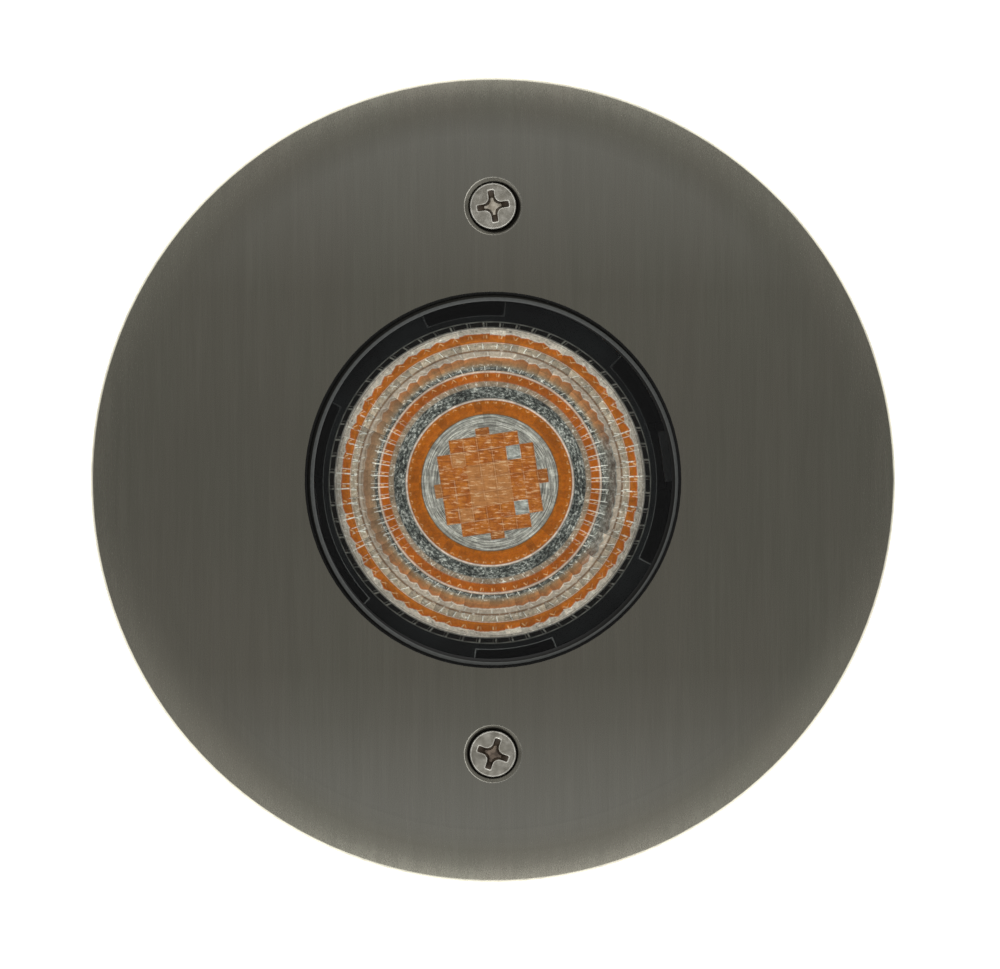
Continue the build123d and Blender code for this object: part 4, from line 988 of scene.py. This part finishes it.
def buildScrew(node, materials, shankRadius, tipHeight):
    s = screwSet
    bm = bmesh.new()
    top = crossOutline(s["armReach"], s["armHalf"], s["hollow"])
    floor = crossOutline(s["floorReach"], s["floorHalf"], s["floorHollow"], 0.06)
    lip = addLoop(bm, top, 0.0)
    bottom = addLoop(bm, floor, -s["depth"])
    stitch(bm, bottom, lip)
    wallFaces = set(bm.faces)
    floorFace = bm.faces.new(bottom)
    last = lip
    rimFaces = set()
    # face, rounded edge, countersunk cone and shank
    coneFoot = -0.25 - (s["headRadius"] - shankRadius)
    for radius, height in ((s["headRadius"] - 0.28, 0.0), (s["headRadius"] - 0.13, -0.03),
                           (s["headRadius"] - 0.04, -0.11),
                           (s["headRadius"], -0.25), (shankRadius, coneFoot), (shankRadius, -9.0)):
        loop = addLoop(bm, circleLike(top, radius), height)
        known = set(bm.faces)
        stitch(bm, loop, last)
        if height == -0.03:
            rimFaces = set(bm.faces) - known
        last = loop
    # thread: a ridge wound round a thinner core
    core = shankRadius - s["threadDepth"]
    length = -9.0 - tipHeight
    turns = int((length - 1.4) / s["pitch"])
    loop = addLoop(bm, circleLike(top, core), -9.0 - 0.15)
    stitch(bm, loop, last)
    last = loop
    for radius, height in ((core, tipHeight + 1.0), (core * 0.55, tipHeight)):
        loop = addLoop(bm, circleLike(top, radius), height)
        stitch(bm, loop, last)
        last = loop
    bm.faces.new(last)
    ridge = [(core - 0.05, 0.26), (shankRadius - 0.005, 0.05), (shankRadius - 0.005, -0.05), (core - 0.05, -0.26)]
    start = [bm.verts.new((radius * mm, 0, (-9.5 + height) * mm)) for radius, height in ridge]
    cap = bm.faces.new(start)
    bmesh.ops.spin(bm, geom=[cap] + list(cap.edges) + start, cent=(0, 0, 0), axis=(0, 0, 1),
                   dvec=(0, 0, -s["pitch"] * mm / 24), angle=-2 * math.pi * turns, steps=24 * turns,
                   use_duplicate=False)
    bmesh.ops.recalc_face_normals(bm, faces=bm.faces)
    for face in bm.faces:
        face.material_index = 1 if face in wallFaces else 2 if face == floorFace else 3 if face in rimFaces else 0
    ease = [item for item in bm.edges if all(vert in set(lip) for vert in item.verts)]
    eased = bmesh.ops.bevel(bm, geom=ease, offset=0.10 * mm, offset_type="OFFSET", affect="EDGES", segments=2,
                            profile=0.5, material=-1, clamp_overlap=True)
    for face in eased["faces"]:
        face.material_index = 3
    sign = 1 if node == "top_screw" else -1
    place = Matrix.Translation((0, sign * s["offset"] * mm, s["headTop"] * mm))
    place = place @ Matrix.Rotation(math.radians(s["turns"][node]), 4, "Z")
    bmesh.ops.transform(bm, matrix=place, verts=bm.verts)
    addPiece(node + "_cross", bm, node, materials, [node], 30)


def makeRecessSteel(name, low, high):
    # Inside the cross: brownish and dull
    paint = Finish(name)
    wear = paint.noise(700, 3.0)
    paint.set("Base Color", paint.ramp(wear, [(0.35, low), (0.7, high)]))
    paint.set("Metallic", 0.3)
    paint.set("Roughness", 0.42)
    paint.bump(wear, strength=0.2, distance=0.00002)
    return paint.material


# Window: thick clear glass with a ground bevel, and the dark bond that shows round it, painted near-black as the shade
# in the gap

glassSet = {
    "under": -1.3,
    "radius": 34.8,
    "step": 2.9,
    "raisedRadius": 29.25,
    "top": 5.3,
    "bevelWidth": 1.05,
    "bevelHeight": 0.70,
    "holeRadius": 29.70,
    "bondTop": 4.75,
}


def spinProfile(bm, points, steps, body=None):
    # A closed ring or a solid of revolution about Z
    chain = addProfile(bm, points)
    if points[0][0] > 0 and points[-1] != points[0] and body == "ring":
        bm.edges.new((chain[-1], chain[0]))
    geom = bm.verts[:] + bm.edges[:]
    bmesh.ops.spin(bm, geom=geom, cent=(0, 0, 0), axis=(0, 0, 1), dvec=(0, 0, 0), angle=2 * math.pi,
                   steps=steps, use_merge=True, use_duplicate=False)
    bmesh.ops.remove_doubles(bm, verts=bm.verts, dist=0.0005 * mm)
    bmesh.ops.recalc_face_normals(bm, faces=bm.faces)


def buildWindow(clear, ground, bond):
    g = glassSet
    bevelInner = g["raisedRadius"] - g["bevelWidth"]
    bm = bmesh.new()
    spinProfile(bm, [(0, g["under"]), (g["radius"] - 0.15, g["under"]), (g["radius"], g["under"] + 0.15),
                     (g["radius"], g["step"] - 0.15), (g["radius"] - 0.15, g["step"]),
                     (g["raisedRadius"], g["step"]), (g["raisedRadius"], g["top"] - g["bevelHeight"]),
                     (bevelInner, g["top"]), (0, g["top"])], 128)
    for face in bm.faces:
        middle = face.calc_center_median()
        radius = math.hypot(middle.x, middle.y) / mm
        height = middle.z / mm
        onBevel = radius > bevelInner and height > g["top"] - g["bevelHeight"]
        # the glass's side wall takes the near-black gap finish as painted shade
        onWall = abs(radius - g["raisedRadius"]) < 0.05 and height < g["top"] - g["bevelHeight"]
        face.material_index = 1 if onBevel else 2 if onWall else 0
    addPiece("window_pane", bm, "cover", [clear, ground, bond], ["glass_window"], 25)
    bm = bmesh.new()
    # a sealant ring in the gap round the glass, painted near-black as shade
    inner, outer, low = g["raisedRadius"] + 0.02, g["holeRadius"] - 0.02, 3.60
    spinProfile(bm, [(inner, low), (outer, low), (outer, g["bondTop"]), (outer - 0.10, g["bondTop"] - 0.08),
                     (inner + 0.10, g["bondTop"] - 0.08), (inner, g["bondTop"])], 128, "ring")
    addPiece("window_sealant", bm, "cover", [bond], [], 30)


# Dressing the frame

def dressFrame():
    composite = makePlastic("blackComposite", (0.015, 0.015, 0.0162), 0.5, 1600, 0.00005)
    glossBlack = makePlastic("glossBlack", (0.006, 0.006, 0.0065), 0.12, 2200, 0.000008, 0.15, 0.6)
    deepBlack = makePlastic("deepBlack", (0.0045, 0.0045, 0.0045), 0.45, 1400, 0.00002, 0.2)
    silicone = makePlastic("blackSilicone", (0.012, 0.012, 0.012), 0.65, 900, 0.00004)
    nylon = makePlastic("naturalNylon", (0.66, 0.63, 0.56), 0.42, 1200, 0.00003, 0.08)
    holder = makePlastic("whiteHolder", (0.78, 0.78, 0.76), 0.38, 1400, 0.00002, 0.05)
    board = makePlastic("boardWhite", (0.70, 0.70, 0.67), 0.3, 1200, 0.00001, 0.05)
    pad = makePlastic("padGrey", (0.30, 0.31, 0.33), 0.8, 900, 0.00005, 0.1)
    lead = makePlastic("leadPvc", (0.02, 0.02, 0.021), 0.38, 700, 0.00002)
    brass = makeMetal("brass", (0.74, 0.56, 0.28), 0.3)
    aluminium = makeMetal("bareAluminium", (0.72, 0.73, 0.74), 0.34)
    steel = makeScrewSteel()
    dress(makeBrushedStainless(), "faceplate")
    dress(makeScrewSteel("blackenedSteel", (0.006, 0.006, 0.006), (0.012, 0.012, 0.012), 0.3), "pivot_screws")
    dress(steel, "led_holder_screws", "optic_holder_screws", "driver_screws")
    dress(composite, "housing", "seat_ring", "gland_body", "gland_nut", "gland_lock_nut", "driver_case")
    dress(deepBlack, "aiming_ring", "friction_washers")
    dress(glossBlack, "optic_holder")
    dress(silicone, "window_bond", "glass_seal", "cover_seal", "gland_o_ring", "gland_seal")
    dress(nylon, "top_screw_washer", "bottom_screw_washer", "terminal_block")
    dress(holder, "led_holder")
    dress(board, "led_board")
    dress(pad, "thermal_pad")
    dress(lead, "led_leads", "output_leads", "input_leads", "lead_plug", "lead_socket")
    dress(brass, "brass_inserts", "terminal_screws")
    dress(aluminium, "heat_sink")
    dress(makePhosphor(), "led_phosphor")
    print("materials on the frame's nodes")
    return silicone


placeCamera()
lightStudio()
layFloor()
silicone = dressFrame()
# near-black painted shade for the gap round the window glass
gapBlack = makePlastic("gapBlack", (0.0018, 0.0018, 0.0018), 0.6, 900, 0.00002, 0.2)
buildWindow(makeWindowGlass(), makeGroundGlass(), gapBlack)
print("window done")
headSteel = makeScrewSteel("headSteel", (0.52, 0.49, 0.41), (0.76, 0.73, 0.64), 0.93)
# painted shade: the cross recess's walls dark brown
recessWall = makeRecessSteel("recessWall", (0.022, 0.016, 0.011), (0.070, 0.053, 0.037))
# painted highlight: a brighter steel on the head's rounded rim and the recess's eased lip
recessEdge = makeScrewSteel("recessEdge", (0.70, 0.68, 0.60), (0.92, 0.90, 0.82), 0.8)
# painted light: the top screw's recess floor pale as lit, the bottom screw's dark as shaded
recessFloors = {
    "top_screw": makeRecessSteel("recessFloor", (0.19, 0.165, 0.125), (0.50, 0.46, 0.38)),
    "bottom_screw": makeRecessSteel("shadedRecessFloor", (0.060, 0.045, 0.033), (0.20, 0.155, 0.115)),
}
for screw, recessFloor in recessFloors.items():
    screwFinishes = [headSteel, recessWall, recessFloor, recessEdge]
    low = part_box(screw)[0]
    buildScrew(screw, screwFinishes, screwSet["shank"], low.z / mm - screwSet["headTop"])
print("screws done")
refineNode("lens_ring", "twist_ring", "lens_ring", ringSet["edge"], [makeRingGloss(), makeEdgeHighlight()])
print("twist ring done")
buildOptic(
    makeOpticGlass(),
    makeCellFinish("amberCell", (0.31, 0.072, 0.003), (0.47, 0.145, 0.014), (0.76, 0.48, 0.26), (0.15, 0.033, 0.003)),
    makeCellFinish("paleCell", (0.37, 0.140, 0.036), (0.48, 0.195, 0.060), (0.70, 0.44, 0.24), (0.24, 0.080, 0.016)),
    makeCellFinish("silverCell", (0.18, 0.18, 0.16), (0.46, 0.46, 0.42), (0.90, 0.89, 0.84), (0.06, 0.05, 0.04)),
)
print("optic done")
